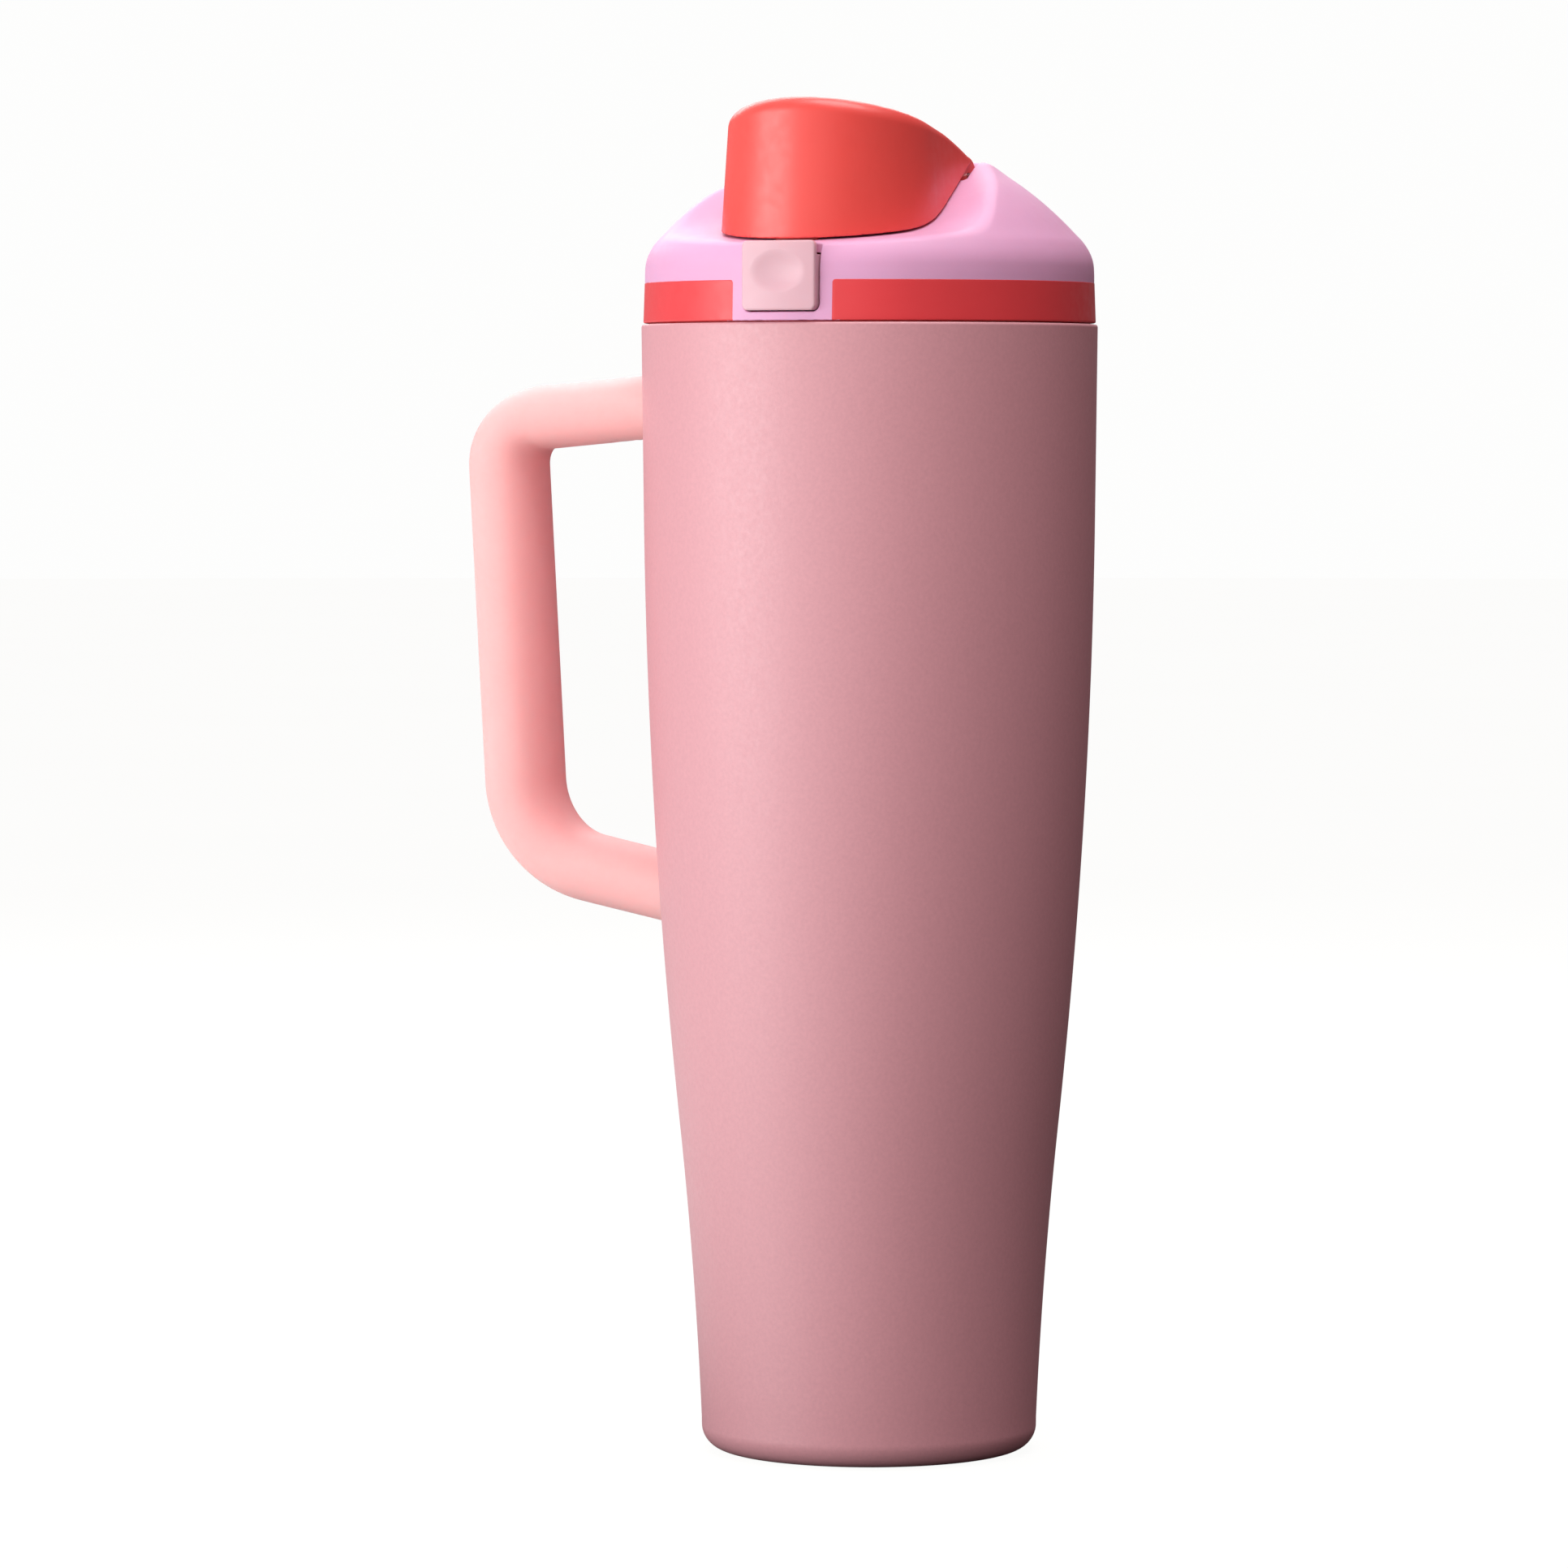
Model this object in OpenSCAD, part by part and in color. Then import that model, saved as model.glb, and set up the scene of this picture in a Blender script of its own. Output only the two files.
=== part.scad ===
// Insulated steel tumbler: double-wall cup, side handle, press-in lid, spring-latched flip cover.
// Millimetres. Origin at the centre of the resting face, +Z up, -Y the drinking side, -X the handle.

/* [Cup] */
// Height of the cup from its resting face to its rim
cup_h = 247.3; // [244:0.1:250]
// Outer radius at the rim
rim_r = 50; // [49.8:0.1:50.4]
// Outer radius just above the rounded base corner
base_r = 36.9; // [36:0.1:38]
// Radius of the rounded base corner
corner_r = 6.5; // [5:0.5:7.5]
// Thickness of the outer steel shell
shell_t = 0.7; // [0.5:0.1:0.8]
// Thickness of the inner steel liner
liner_t = 0.6; // [0.4:0.1:0.7]
// Height of the vessel's floor above the resting face
floor_z = 10; // [9:0.5:14]

/* [Handle] */
// Distance from the cup's axis to the middle of the grip, at its top corner
grip_top_r = 88.1; // [84:0.1:92]
// Distance from the cup's axis to the middle of the grip, at its bottom corner
grip_bottom_r = 82.8; // [80:0.1:86]
// Half the grip's thickness, measured away from the cup
grip_half_t = 8.25; // [7.8:0.05:9]
// Half the handle's width, measured round the cup
grip_half_w = 11; // [10:0.5:12]

/* [Lid] */
// Height of the visible coloured band above the rim
band_h = 9.1; // [9:0.1:11]
// Radius of the band at its foot
band_r = 49.5; // [49.2:0.1:49.7]
// Highest point of the lid's dome
dome_top_z = 284; // [283.6:0.1:284.6]
// Thickness of the dome's wall
dome_t = 2.2; // [1.8:0.1:2.4]

/* [Flip cover] */
// Radius of the cover's round front at its foot
cover_r = 24.7; // [24:0.1:25]
// Sideways slope of the cover's walls, degrees
cover_draft = 3.7; // [2:0.1:4.5]
// Slope of the cover's top, degrees
cover_slope = 14.5; // [12:0.5:15]
// Thickness of the cover's wall
cover_t = 2; // [1.6:0.1:2.2]
// How far the cover swings open, degrees
open_angle = 110; // [90:5:110]

/* [Button] */
// Width of the button's face
button_w = 17; // [16:0.1:17]
// Height of the button's face
button_h = 15.2; // [14.6:0.1:15.2]
// How far the button travels inwards
button_travel = 2.2; // [1.5:0.1:2.2]

/* [Straw] */
// Outer diameter of the straw
straw_d = 9; // [8.6:0.1:9]
// Height of the straw's foot above the resting face
straw_foot_z = 13; // [12:0.5:30]

/* [Hidden] */
$fn = 96;

pink_coat = [0.80, 0.60, 0.62];
steel = [0.75, 0.75, 0.77];
copper = [0.80, 0.50, 0.35];
handle_pink = [0.97, 0.76, 0.76];
coral = [0.90, 0.33, 0.33];
lilac = [0.87, 0.66, 0.79];
pale_pink = [0.94, 0.80, 0.83];
silicone = [0.93, 0.90, 0.90];

// ---- cup outline: the wall's slope grows up to steep_z, then fades out by straight_z ----
steep_z = 72;
straight_z = 205;
foot_slope = 0.043;
steep_slope = 0.106;
top_slope = 0.012;
function flare(z) =
    z < steep_z
        ? foot_slope * (z - corner_r)
            + (steep_slope - foot_slope) * pow(z - corner_r, 2) / (2 * (steep_z - corner_r))
    : z < straight_z
        ? flare(steep_z - 0.001) + steep_slope * (z - steep_z)
            - (steep_slope - top_slope) * pow(z - steep_z, 2) / (2 * (straight_z - steep_z))
    : flare(straight_z - 0.001) + top_slope * (z - straight_z);
function cup_r(z) = base_r + (rim_r - base_r) * flare(z) / flare(cup_h);
function arc(cx, cz, r, from, to, steps) =
    [for (i = [0:steps]) let (a = from + (to - from) * i / steps) [cx + r * cos(a), cz + r * sin(a)]];
function wall_points(z0, z1, inset, steps) =
    [for (i = [0:steps]) let (z = z0 + (z1 - z0) * i / steps) [cup_r(z) - inset, z]];
function backwards(points) = [for (i = [len(points) - 1:-1:0]) points[i]];

wall_t = 3.4;                      // outer face of the shell to the inner face of the liner
corner_c = base_r - corner_r;      // centre of the base corner's arc
base_hole_r = 28.2;                // opening in the shell's foot that the base plate closes
neck_r = rim_r - wall_t;
neck_z = 230;
liner_corner = 7;
liner_corner_z = floor_z + liner_corner;
rim_round = 0.6;

module cup_solid(extra = 0) {
    rotate_extrude()
        polygon(concat([[0, 0]], arc(corner_c, corner_r, corner_r + extra, -90, 0, 6),
                       wall_points(corner_r + 2, cup_h, -extra, 28), [[0, cup_h]]));
}

module outer_shell() {
    outside = concat(arc(corner_c, corner_r, corner_r, -90, 0, 8),
                     wall_points(corner_r + 2, cup_h - rim_round, 0, 30),
                     arc(rim_r - rim_round, cup_h - rim_round, rim_round, 30, 90, 3));
    inside = concat(arc(corner_c, corner_r, corner_r - shell_t, -90, 0, 8),
                    wall_points(corner_r + 2, cup_h - 1, shell_t, 30), [[rim_r - shell_t, cup_h]]);
    color(pink_coat)
        rotate_extrude()
            polygon(concat([[base_hole_r, 0]], outside, backwards(inside), [[base_hole_r, shell_t]]));
}

function liner_points(grow) = concat(
    [[0, floor_z - grow]],
    arc(cup_r(liner_corner_z) - wall_t - liner_corner, liner_corner_z, liner_corner + grow, -90, 0, 6),
    wall_points(liner_corner_z + 2, neck_z - 1, wall_t - grow, 24),
    [[neck_r + grow, neck_z]]);

module inner_liner() {
    lip_r = 1;
    inside = concat(liner_points(0),
                    arc(neck_r + lip_r, cup_h - lip_r, lip_r, 180, 90, 5));
    outside = concat(liner_points(liner_t),
                     [[neck_r + liner_t, cup_h - 1.6], [neck_r + liner_t + 0.6, cup_h - liner_t],
                      [rim_r - shell_t, cup_h - liner_t], [rim_r - shell_t, cup_h]]);
    color(steel) rotate_extrude() polygon(concat(inside, backwards(outside)));
}

// ---- base of the vacuum jacket ----
plate_t = 0.7;
plate_rise = 2.2;
dimple_r = 4.5;
dimple_rise = 1.2;
pump_hole_r = 1;

module base_plate() {
    step_r = 26;
    lift = plate_rise + dimple_rise;
    color(steel)
        rotate_extrude()
            polygon([[step_r, 0], [base_hole_r, 0], [base_hole_r, plate_t], [step_r + 0.8, plate_t],
                     [step_r - 0.2, plate_rise + plate_t], [dimple_r + 1, plate_rise + plate_t],
                     [dimple_r, lift + plate_t], [pump_hole_r, lift + plate_t], [pump_hole_r, lift],
                     [dimple_r - 0.8, lift], [dimple_r + 0.2, plate_rise], [step_r - 1, plate_rise]]);
}

module vacuum_seal_bead() {
    lift = plate_rise + dimple_rise;
    color("dimgray")
        rotate_extrude()
            polygon([[0, lift - 1], [2.2, lift - 0.8], [3.4, lift], [pump_hole_r, lift],
                     [pump_hole_r, lift + plate_t], [0, lift + plate_t]]);
}

module getter() {
    getter_r = 5;
    color("gray")
        translate([14, 0, plate_rise + plate_t]) {
            difference() {
                cylinder(r = getter_r, h = 2);
                translate([0, 0, 0.6]) cylinder(r = getter_r - 0.6, h = 2);
            }
            translate([0, 0, 0.6]) cylinder(r = getter_r - 0.6, h = 0.9);
        }
}

module reflective_foil() {
    foil_low = liner_corner_z + 4;
    foil_high = neck_z - 8;
    near = wall_t - liner_t - 0.2;
    color(copper)
        rotate_extrude()
            polygon(concat(wall_points(foil_low, foil_high, near, 20),
                           backwards(wall_points(foil_low, foil_high, near - 0.2, 20))));
}

// ---- handle: each arm has its own frame, with -X pointing out along the arm ----
arm_z = [229.6, 122.2];
arm_tilt = [-5, 11.5];
arm_half_t = [7.1, 7.65];
core_half_t = 5.2;
core_half_w = 8;
bracket_t = 1.2;
saddle_half_w = 5.4;
saddle_half_h = 3.4;
post_len = 15;
post_half_w = 5;
post_half_t = 3;
screw_out = 10;                    // screw axis from the arm's root
screw_r = 1.5;
screw_head_r = 2.7;
screw_head_h = 1.8;
screw_seat = 4;                    // depth of the head's seat below the arm's middle

module at_arm(i) {
    translate([-cup_r(arm_z[i]), 0, arm_z[i]]) rotate([0, arm_tilt[i], 0]) children();
}
function unit(v) = v / norm(v);
function turned(v, a) = [v[0] * cos(a) - v[1] * sin(a), v[0] * sin(a) + v[1] * cos(a)];
function side_of(a, b) = a[0] * b[1] - a[1] * b[0] > 0 ? 1 : -1;
function arm_point(i, out) =
    [-cup_r(arm_z[i]) - out * cos(arm_tilt[i]), arm_z[i] + out * sin(arm_tilt[i])];
// where each arm's line meets the grip's line
function arm_corner(i) = arm_point(i, ((i == 0 ? grip_top_r : grip_bottom_r) - cup_r(arm_z[i]))
                                      / cos(arm_tilt[i]));
// [point, direction, half thickness] along a rounded corner at b, on the way from a to c
function bend(a, b, c, r, t0, t1, steps) =
    let (u = unit(a - b), w = unit(c - b), half = acos(u * w) / 2,
         centre = b + unit(u + w) * r / sin(half), start = b + u * r / tan(half) - centre,
         way = side_of(-u, w), total = 180 - 2 * half)
    [for (i = [0:steps]) let (s = i / steps)
        [centre + turned(start, way * total * s), turned(-u, way * total * s), t0 + (t1 - t0) * s]];
function handle_stations(out) =
    let (a = arm_point(0, out), b = arm_corner(0), c = arm_corner(1), d = arm_point(1, out))
    concat([[a, unit(b - a), arm_half_t[0]]],
           bend(a, b, c, 10.5, arm_half_t[0] + 0.1, grip_half_t, 9),
           bend(b, c, d, 17, grip_half_t, arm_half_t[1] + 0.1, 10),
           [[d, unit(d - c), arm_half_t[1]]]);
// a closed tube through the stations, its section a soft-cornered oval
module sweep(stations, shrink_t, half_w, sides) {
    power = 2 / 2.3;
    function bulge(v) = sign(v) * pow(abs(v), power);
    points = [for (s = stations, k = [0:sides - 1])
        let (a = 360 * k / sides, t = shrink_t < 0 ? s[2] : shrink_t,
             across = turned(s[1], 90) * t * bulge(cos(a)))
        [s[0][0] + across[0], half_w * bulge(sin(a)), s[0][1] + across[1]]];
    last = (len(stations) - 1) * sides;
    skin = [for (i = [0:len(stations) - 2], k = [0:sides - 1])
        let (p = i * sides + k, q = i * sides + (k + 1) % sides)
        each [[p, q, q + sides], [p, q + sides, p + sides]]];
    polyhedron(points, concat(skin, [[for (k = [sides - 1:-1:0]) k]],
                              [[for (k = [0:sides - 1]) last + k]]));
}

module bracket(i) {
    color(steel)
        difference() {
            union() {
                intersection() {
                    difference() {
                        cup_solid(bracket_t);
                        cup_solid(0);
                    }
                    at_arm(i) translate([-10, -saddle_half_w, -saddle_half_h])
                        cube([20, 2 * saddle_half_w, 2 * saddle_half_h]);
                }
                difference() {
                    at_arm(i) translate([-post_len, -post_half_w, -post_half_t])
                        cube([post_len + 4, 2 * post_half_w, 2 * post_half_t]);
                    cup_solid(bracket_t / 2);
                }
            }
            at_arm(i) translate([-screw_out, 0, -10]) cylinder(r = screw_r, h = 20);
        }
}
module upper_bracket() { bracket(0); }
module lower_bracket() { bracket(1); }

module handle_core() {
    color("mistyrose")
        difference() {
            sweep(handle_stations(-4), core_half_t, core_half_w, 16);
            cup_solid(bracket_t + 0.3);
            for (i = [0:1]) at_arm(i) {
                translate([-post_len - 0.2, -post_half_w - 0.1, -post_half_t - 0.1])
                    cube([post_len + 10, 2 * post_half_w + 0.2, 2 * post_half_t + 0.2]);
                translate([-screw_out, 0, -10]) cylinder(r = screw_r + 0.1, h = 10);
                translate([-screw_out, 0, -10]) cylinder(r = screw_head_r + 0.1, h = 10 - screw_seat);
            }
        }
}

module handle_grip() {
    color(handle_pink)
        difference() {
            sweep(handle_stations(-4), -1, grip_half_w, 28);
            sweep(handle_stations(-8), core_half_t, core_half_w, 16);
            cup_solid(0);
            for (i = [0:1]) at_arm(i) translate([-screw_out, 0, -10])
                cylinder(r = screw_head_r + 0.4, h = 8);
        }
}

module handle_screws() {
    color("silver")
        for (i = [0:1]) at_arm(i) translate([-screw_out, 0, 0])
            difference() {
                union() {
                    translate([0, 0, -screw_seat - 0.1]) cylinder(r = screw_r - 0.03, h = screw_seat + 2.6);
                    translate([0, 0, -screw_seat - screw_head_h])
                        cylinder(r = screw_head_r, h = screw_head_h);
                }
                translate([0, 0, -screw_seat - screw_head_h - 1]) cylinder(r = 1.15, h = 2, $fn = 6);
            }
}

module screw_plugs() {
    color(handle_pink)
        for (i = [0:1]) at_arm(i) translate([-screw_out, 0, 0.05 - arm_half_t[i]])
            cylinder(r = screw_head_r + 0.35, h = arm_half_t[i] - screw_seat - screw_head_h - 0.1);
}

// ---- lid: heights ----
rest_z = cup_h + 0.05;             // the lid's flange on the rim
band_z = cup_h + 0.6;              // foot of the visible band, leaving a shadow gap
band_top_z = band_z + band_h - 0.6;
plug_r = neck_r - 0.7;
plug_foot_z = 231;
plug_floor_t = 2.2;
plug_top_z = 249;
groove_low_z = 236.5;
groove_high_z = 243.5;
groove_r = 44.4;
plug_inner_r = 42.2;
ring_inner_r = 47;

// ---- lid: plan positions ----
spout_y = -20;
straw_y = -27;
vent_y = 18;
hinge_y = 1.5;
hinge_z = 279;
barrel_r = 4.7;
tab_half_w = 11.4;

module tab_outline(grow) {
    flare_r = 2.2;
    flare_z = band_top_z - 1.9;    // centre of the arc that widens the tab at the band's top
    translate([-tab_half_w - grow, band_z - 1]) square([2 * (tab_half_w + grow), band_h + 4]);
    for (s = [-1, 1]) translate([s * (tab_half_w + grow), 0]) mirror([s < 0 ? 1 : 0, 0])
        difference() {
            translate([-0.1, flare_z]) square([1.6, 5]);
            translate([flare_r, flare_z]) circle(r = flare_r);
        }
}
module tab_block(grow) {
    translate([0, -40, 0]) rotate([90, 0, 0]) linear_extrude(height = 15) tab_outline(grow);
}

module lid_gasket() {
    low = groove_low_z + 0.15;
    high = groove_high_z - 0.15;
    core_r = plug_r - 0.05;
    fin_r = neck_r - 0.1;
    color(silicone)
        rotate_extrude()
            polygon([[groove_r + 0.15, low], [core_r, low], [core_r, low + 0.8], [fin_r, low + 1.8],
                     [fin_r, low + 2.3], [core_r, low + 2.5], [core_r, high - 2.7],
                     [fin_r, high - 1.7], [fin_r, high - 1.2], [core_r, high - 1], [core_r, high],
                     [groove_r + 0.15, high]]);
}

module lid_base() {
    color(coral)
        difference() {
            rotate_extrude()
                polygon([[0, plug_foot_z], [plug_r - 1.2, plug_foot_z], [plug_r, plug_foot_z + 1.2],
                         [plug_r, groove_low_z], [groove_r, groove_low_z], [groove_r, groove_high_z],
                         [plug_r, groove_high_z], [plug_r, rest_z], [rim_r - 1.1, rest_z],
                         [rim_r - 1.1, band_z], [band_r, band_z], [band_r - 0.3, band_top_z],
                         [ring_inner_r, band_top_z], [ring_inner_r, plug_top_z],
                         [plug_inner_r, plug_top_z], [plug_inner_r, plug_foot_z + plug_floor_t],
                         [0, plug_foot_z + plug_floor_t]]);
            intersection() {
                tab_block(0.05);
                difference() {
                    translate([-20, -60, band_z - 0.1]) cube([40, 30, 30]);
                    cylinder(r = ring_inner_r - 0.3, h = 300);
                }
            }
            translate([0, spout_y, plug_foot_z - 1]) cylinder(r = 12.4, h = 10);
            translate([0, vent_y, plug_foot_z - 1]) cylinder(r = 1.9, h = 10);
        }
}

// ---- scoop that the flip cover sits in: a side outline, the same all the way across ----
scoop_front_angle = 8;
scoop_back_angle = 31;
scoop_arc_r = 50;
scoop_start = [-32, 266.7];        // foot of the cover where the outline starts to curve up
function scoop_points(drop, front_y) =
    let (centre = scoop_start + scoop_arc_r * [-sin(scoop_front_angle), cos(scoop_front_angle)],
         bend_end = centre + scoop_arc_r * [sin(scoop_back_angle), -cos(scoop_back_angle)],
         back_run = 8 - bend_end[0])
    concat([[front_y, scoop_start[1] - drop - (scoop_start[0] - front_y) * tan(scoop_front_angle)]],
           [for (i = [0:8]) let (a = scoop_front_angle + (scoop_back_angle - scoop_front_angle) * i / 8)
               centre + scoop_arc_r * [sin(a), -cos(a)] - [0, drop]],
           [bend_end + [back_run, back_run * tan(scoop_back_angle) - drop]]);
// height of the outline's straight back stretch
function scoop_line(y) =
    let (top = scoop_points(0, -60), last = top[len(top) - 1])
    last[1] + (y - last[0]) * tan(scoop_back_angle);
// outline in the Y-Z plane, drawn along X between two half widths
module across(half_w) {
    rotate([90, 0, 90]) translate([0, 0, -half_w]) linear_extrude(height = 2 * half_w) children();
}
module above_scoop(drop, end_y) {
    intersection() {
        across(60) polygon(concat(scoop_points(drop, -70), [[8, 330], [-70, 330]]));
        translate([-60, -70, 200]) cube([120, 70 + end_y, 130]);
    }
}

// the dome's outline is three arcs that meet smoothly: shoulder, flank and crown
shoulder_r = 10.2;
flank_r = 78;
crown_r = 8;
shoulder_end = 41.4;               // direction the surface faces where shoulder meets flank
flank_end = 59.3;
crown_end = 86;
shoulder_c = [band_r - 0.3 - shoulder_r, dome_top_z - 24.2];
flank_c = shoulder_c + (shoulder_r - flank_r) * [cos(shoulder_end), sin(shoulder_end)];
crown_c = flank_c + (flank_r - crown_r) * [cos(flank_end), sin(flank_end)];
function dome_points(inset) =
    concat([[band_r - 0.3 - inset, band_top_z]],
           arc(shoulder_c[0], shoulder_c[1], shoulder_r - inset, 0, shoulder_end, 7),
           arc(flank_c[0], flank_c[1], flank_r - inset, shoulder_end + 2, flank_end - 2, 5),
           arc(crown_c[0], crown_c[1], crown_r - inset, flank_end, crown_end, 5),
           [[0, dome_top_z - inset]]);

module dome_solid(inset) {
    rotate_extrude() polygon(concat([[0, band_top_z]], dome_points(inset)));
}

barrel_half_w = 23.7;
well_half_w = 24.1;
well_r = barrel_r + 0.3;
tail_angle = 70.5;                 // direction in which the cover's top leaves its hinge barrel
// room behind the hinge for the cover when it stands open
module hinge_well(r, half_w) {
    rest = tail_angle - open_angle - 1.5;
    foot = [hinge_y, hinge_z] + r * [cos(rest), sin(rest)];
    translate([-half_w, hinge_y, hinge_z]) rotate([0, 90, 0]) cylinder(r = r, h = 2 * half_w);
    across(half_w)
        polygon([foot, foot + 40 * [cos(rest + 90), sin(rest + 90)],
                 [hinge_y - 8, hinge_z + 40], [hinge_y - 2, hinge_z], [hinge_y, hinge_z]]);
}

button_z = 249.4;                  // foot of the button's face
button_clear = 0.4;
latch_z = 259.3;
latch_t = 2.3;
latch_half_w = 7.5;
window_y = -46.6;                  // front edge of the scoop's floor, behind the button
lip_under_z = 261.9;
tongue_y = -40.4;
tongue_t = 1.6;
barb = 0.9;
spring_z = 254.4;
tongue_half_w = 5;

module lid_dome() {
    seat_y = -39.6;
    arm_in = 9.9;
    color(lilac)
        difference() {
            union() {
                difference() {
                    dome_solid(0);
                    above_scoop(0.4, 4.5);
                    difference() {
                        dome_solid(dome_t);
                        above_scoop(0.4 + dome_t, 4.5);
                        // floor and walls of the hinge well
                        hinge_well(well_r + dome_t, well_half_w + dome_t);
                    }
                    translate([0, 0, band_top_z - 5]) cylinder(r = ring_inner_r + 0.2, h = 5.01);
                }
                // cheeks that carry the hinge pin
                intersection() {
                    dome_solid(0.5);
                    for (s = [-1, 1]) translate([s * (well_half_w + 1.6), hinge_y, hinge_z - 2])
                        cube([3.2, 11, 9], center = true);
                    difference() {
                        translate([-40, -40, 200]) cube([80, 80, 100]);
                        above_scoop(0.4, 4.5);
                    }
                }
                // tab that frames the button
                intersection() {
                    tab_block(0);
                    difference() {
                        translate([0, 0, band_z]) cylinder(r1 = band_r, r2 = band_r - 0.3, h = band_h);
                        cylinder(r = ring_inner_r, h = 300);
                    }
                }
                // bracket that the button's spring pushes against
                difference() {
                    translate([-arm_in - 1.4, -46.4, 250.4]) cube([2 * arm_in + 2.8, 8.2, 12.3]);
                    translate([-arm_in, -60, 249]) cube([2 * arm_in, 60 + seat_y, 20]);
                    translate([-arm_in, -50, 258.6]) cube([2 * arm_in, 20, 10]);
                    above_scoop(0.4 + dome_t / 2, 4.5);
                }
            }
            hinge_well(well_r, well_half_w);
            // window for the button, deeper below the lip of the scoop's floor
            translate([-button_w / 2 - button_clear, -60, button_z - button_clear])
                cube([button_w + 2 * button_clear, 60 + window_y, 30]);
            translate([-button_w / 2 - button_clear, -60, button_z - button_clear])
                cube([button_w + 2 * button_clear, 62.3 + window_y, lip_under_z - button_z + button_clear]);
            translate([-latch_half_w - 0.4, -47, latch_z - 0.3])
                cube([2 * latch_half_w + 0.8, 12, latch_t + 0.4]);
            // hole for the spout, and slot for the cover's tongue
            translate([0, spout_y, 240]) cylinder(r = 14.4, h = 60);
            translate([-tongue_half_w - 0.5, tongue_y - 2.2, 255])
                cube([2 * tongue_half_w + 1, tongue_t + 4.2, 20]);
            // seats of the hinge pin
            translate([-26.6, hinge_y, hinge_z]) rotate([0, 90, 0]) cylinder(r = 1.25, h = 53.2);
        }
}

// ---- mouthpiece: the straw's duct inside a wider drinking duct ----
straw_top_z = 229.8;
spout_foot_z = plug_foot_z - 1;
flange_z = plug_foot_z + plug_floor_t + 1.2;
lip_z = 283;                       // height of the lip above the spout's middle
module above_lip(lift) {
    translate([0, spout_y, lip_z + lift]) rotate([-cover_slope, 0, 0])
        translate([-30, -30, 0]) cube([60, 60, 30]);
}
module spout() {
    color(pale_pink)
        difference() {
            union() {
                difference() {
                    translate([0, spout_y, 0]) {
                        translate([0, 0, spout_foot_z]) cylinder(r = 12.2, h = 5);
                        translate([0, 0, flange_z]) cylinder(r = 17.4, h = 2);
                        translate([0, 0, flange_z]) cylinder(r1 = 14, r2 = 12.7, h = 60);
                    }
                    translate([0, spout_y, spout_foot_z - 1]) cylinder(r = 10.9, h = 80);
                }
                translate([0, straw_y, straw_top_z - 8]) cylinder(r = straw_d / 2 - 1.05, h = 10);
                intersection() {
                    translate([0, straw_y, plug_foot_z + 0.2]) cylinder(r = 4.3, h = 60);
                    translate([0, spout_y, 0]) cylinder(r = 11.4, h = 300);
                }
            }
            translate([0, straw_y, 200]) cylinder(r = 2.6, h = 100);
            above_lip(0);
        }
}

module spout_gasket() {
    color(silicone)
        translate([0, spout_y, flange_z - 1.2])
            difference() {
                cylinder(r = 17, h = 1.2);
                translate([0, 0, -1]) cylinder(r = 14.2, h = 4);
            }
}

module vent_valve() {
    color(silicone)
        translate([0, vent_y, plug_foot_z])
            rotate_extrude()
                polygon([[0, -1.4], [3, -1.2], [5, -0.2], [5, 0], [1.8, 0], [1.8, plug_floor_t],
                         [2.7, plug_floor_t], [1.5, plug_floor_t + 2], [0, plug_floor_t + 2.2]]);
}

module straw() {
    color(pale_pink)
        difference() {
            translate([0, straw_y, straw_foot_z]) cylinder(d = straw_d, h = straw_top_z - straw_foot_z);
            translate([0, straw_y, 0]) cylinder(r = straw_d / 2 - 1, h = 260);
            translate([0, straw_y, straw_foot_z]) rotate([30, 0, 0]) translate([-10, -20, -20])
                cube([20, 40, 20]);
        }
}

// ---- hinge ----
module hinge_pin() {
    color("silver") translate([-26.5, hinge_y, hinge_z]) rotate([0, 90, 0]) cylinder(r = 1.25, h = 53);
}

// a wire swept along points, with a given number of sides
module wire(points, r, sides) {
    n = len(points);
    function along(i) = unit(points[min(i + 1, n - 1)] - points[max(i - 1, 0)]);
    rings = [for (i = [0:n - 1], k = [0:sides - 1])
        let (t = along(i), helper = abs(t[0]) < 0.8 ? [1, 0, 0] : [0, 1, 0],
             u = unit(cross(t, helper)), v = cross(t, u), a = 360 * k / sides)
        points[i] + r * (cos(a) * u + sin(a) * v)];
    skin = [for (i = [0:n - 2], k = [0:sides - 1])
        let (p = i * sides + k, q = i * sides + (k + 1) % sides)
        each [[p, p + sides, q + sides], [p, q + sides, q]]];
    polyhedron(rings, concat(skin, [[for (k = [0:sides - 1]) k]],
                             [[for (k = [sides - 1:-1:0]) (n - 1) * sides + k]]));
}

module hinge_spring() {
    turns = 6;
    per_turn = 14;
    coil_r = 2.3;
    coil_half_w = 4.2;
    coil = [for (i = [0:turns * per_turn]) let (a = -60 + 360 * i / per_turn)
        [-coil_half_w + 2 * coil_half_w * i / (turns * per_turn), coil_r * cos(a), coil_r * sin(a)]];
    color("silver")
        translate([0, hinge_y, hinge_z]) wire(coil, 0.4, 6);
}

module button_spring() {
    turns = 6;
    per_turn = 14;
    coil_r = 2.2;
    start_y = -46.1;
    end_y = -40.1;
    color("silver")
        wire([for (i = [0:turns * per_turn]) let (a = 360 * i / per_turn)
                 [coil_r * cos(a), start_y + (end_y - start_y) * i / (turns * per_turn),
                  spring_z + coil_r * sin(a)]], 0.3, 6);
}

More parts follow.
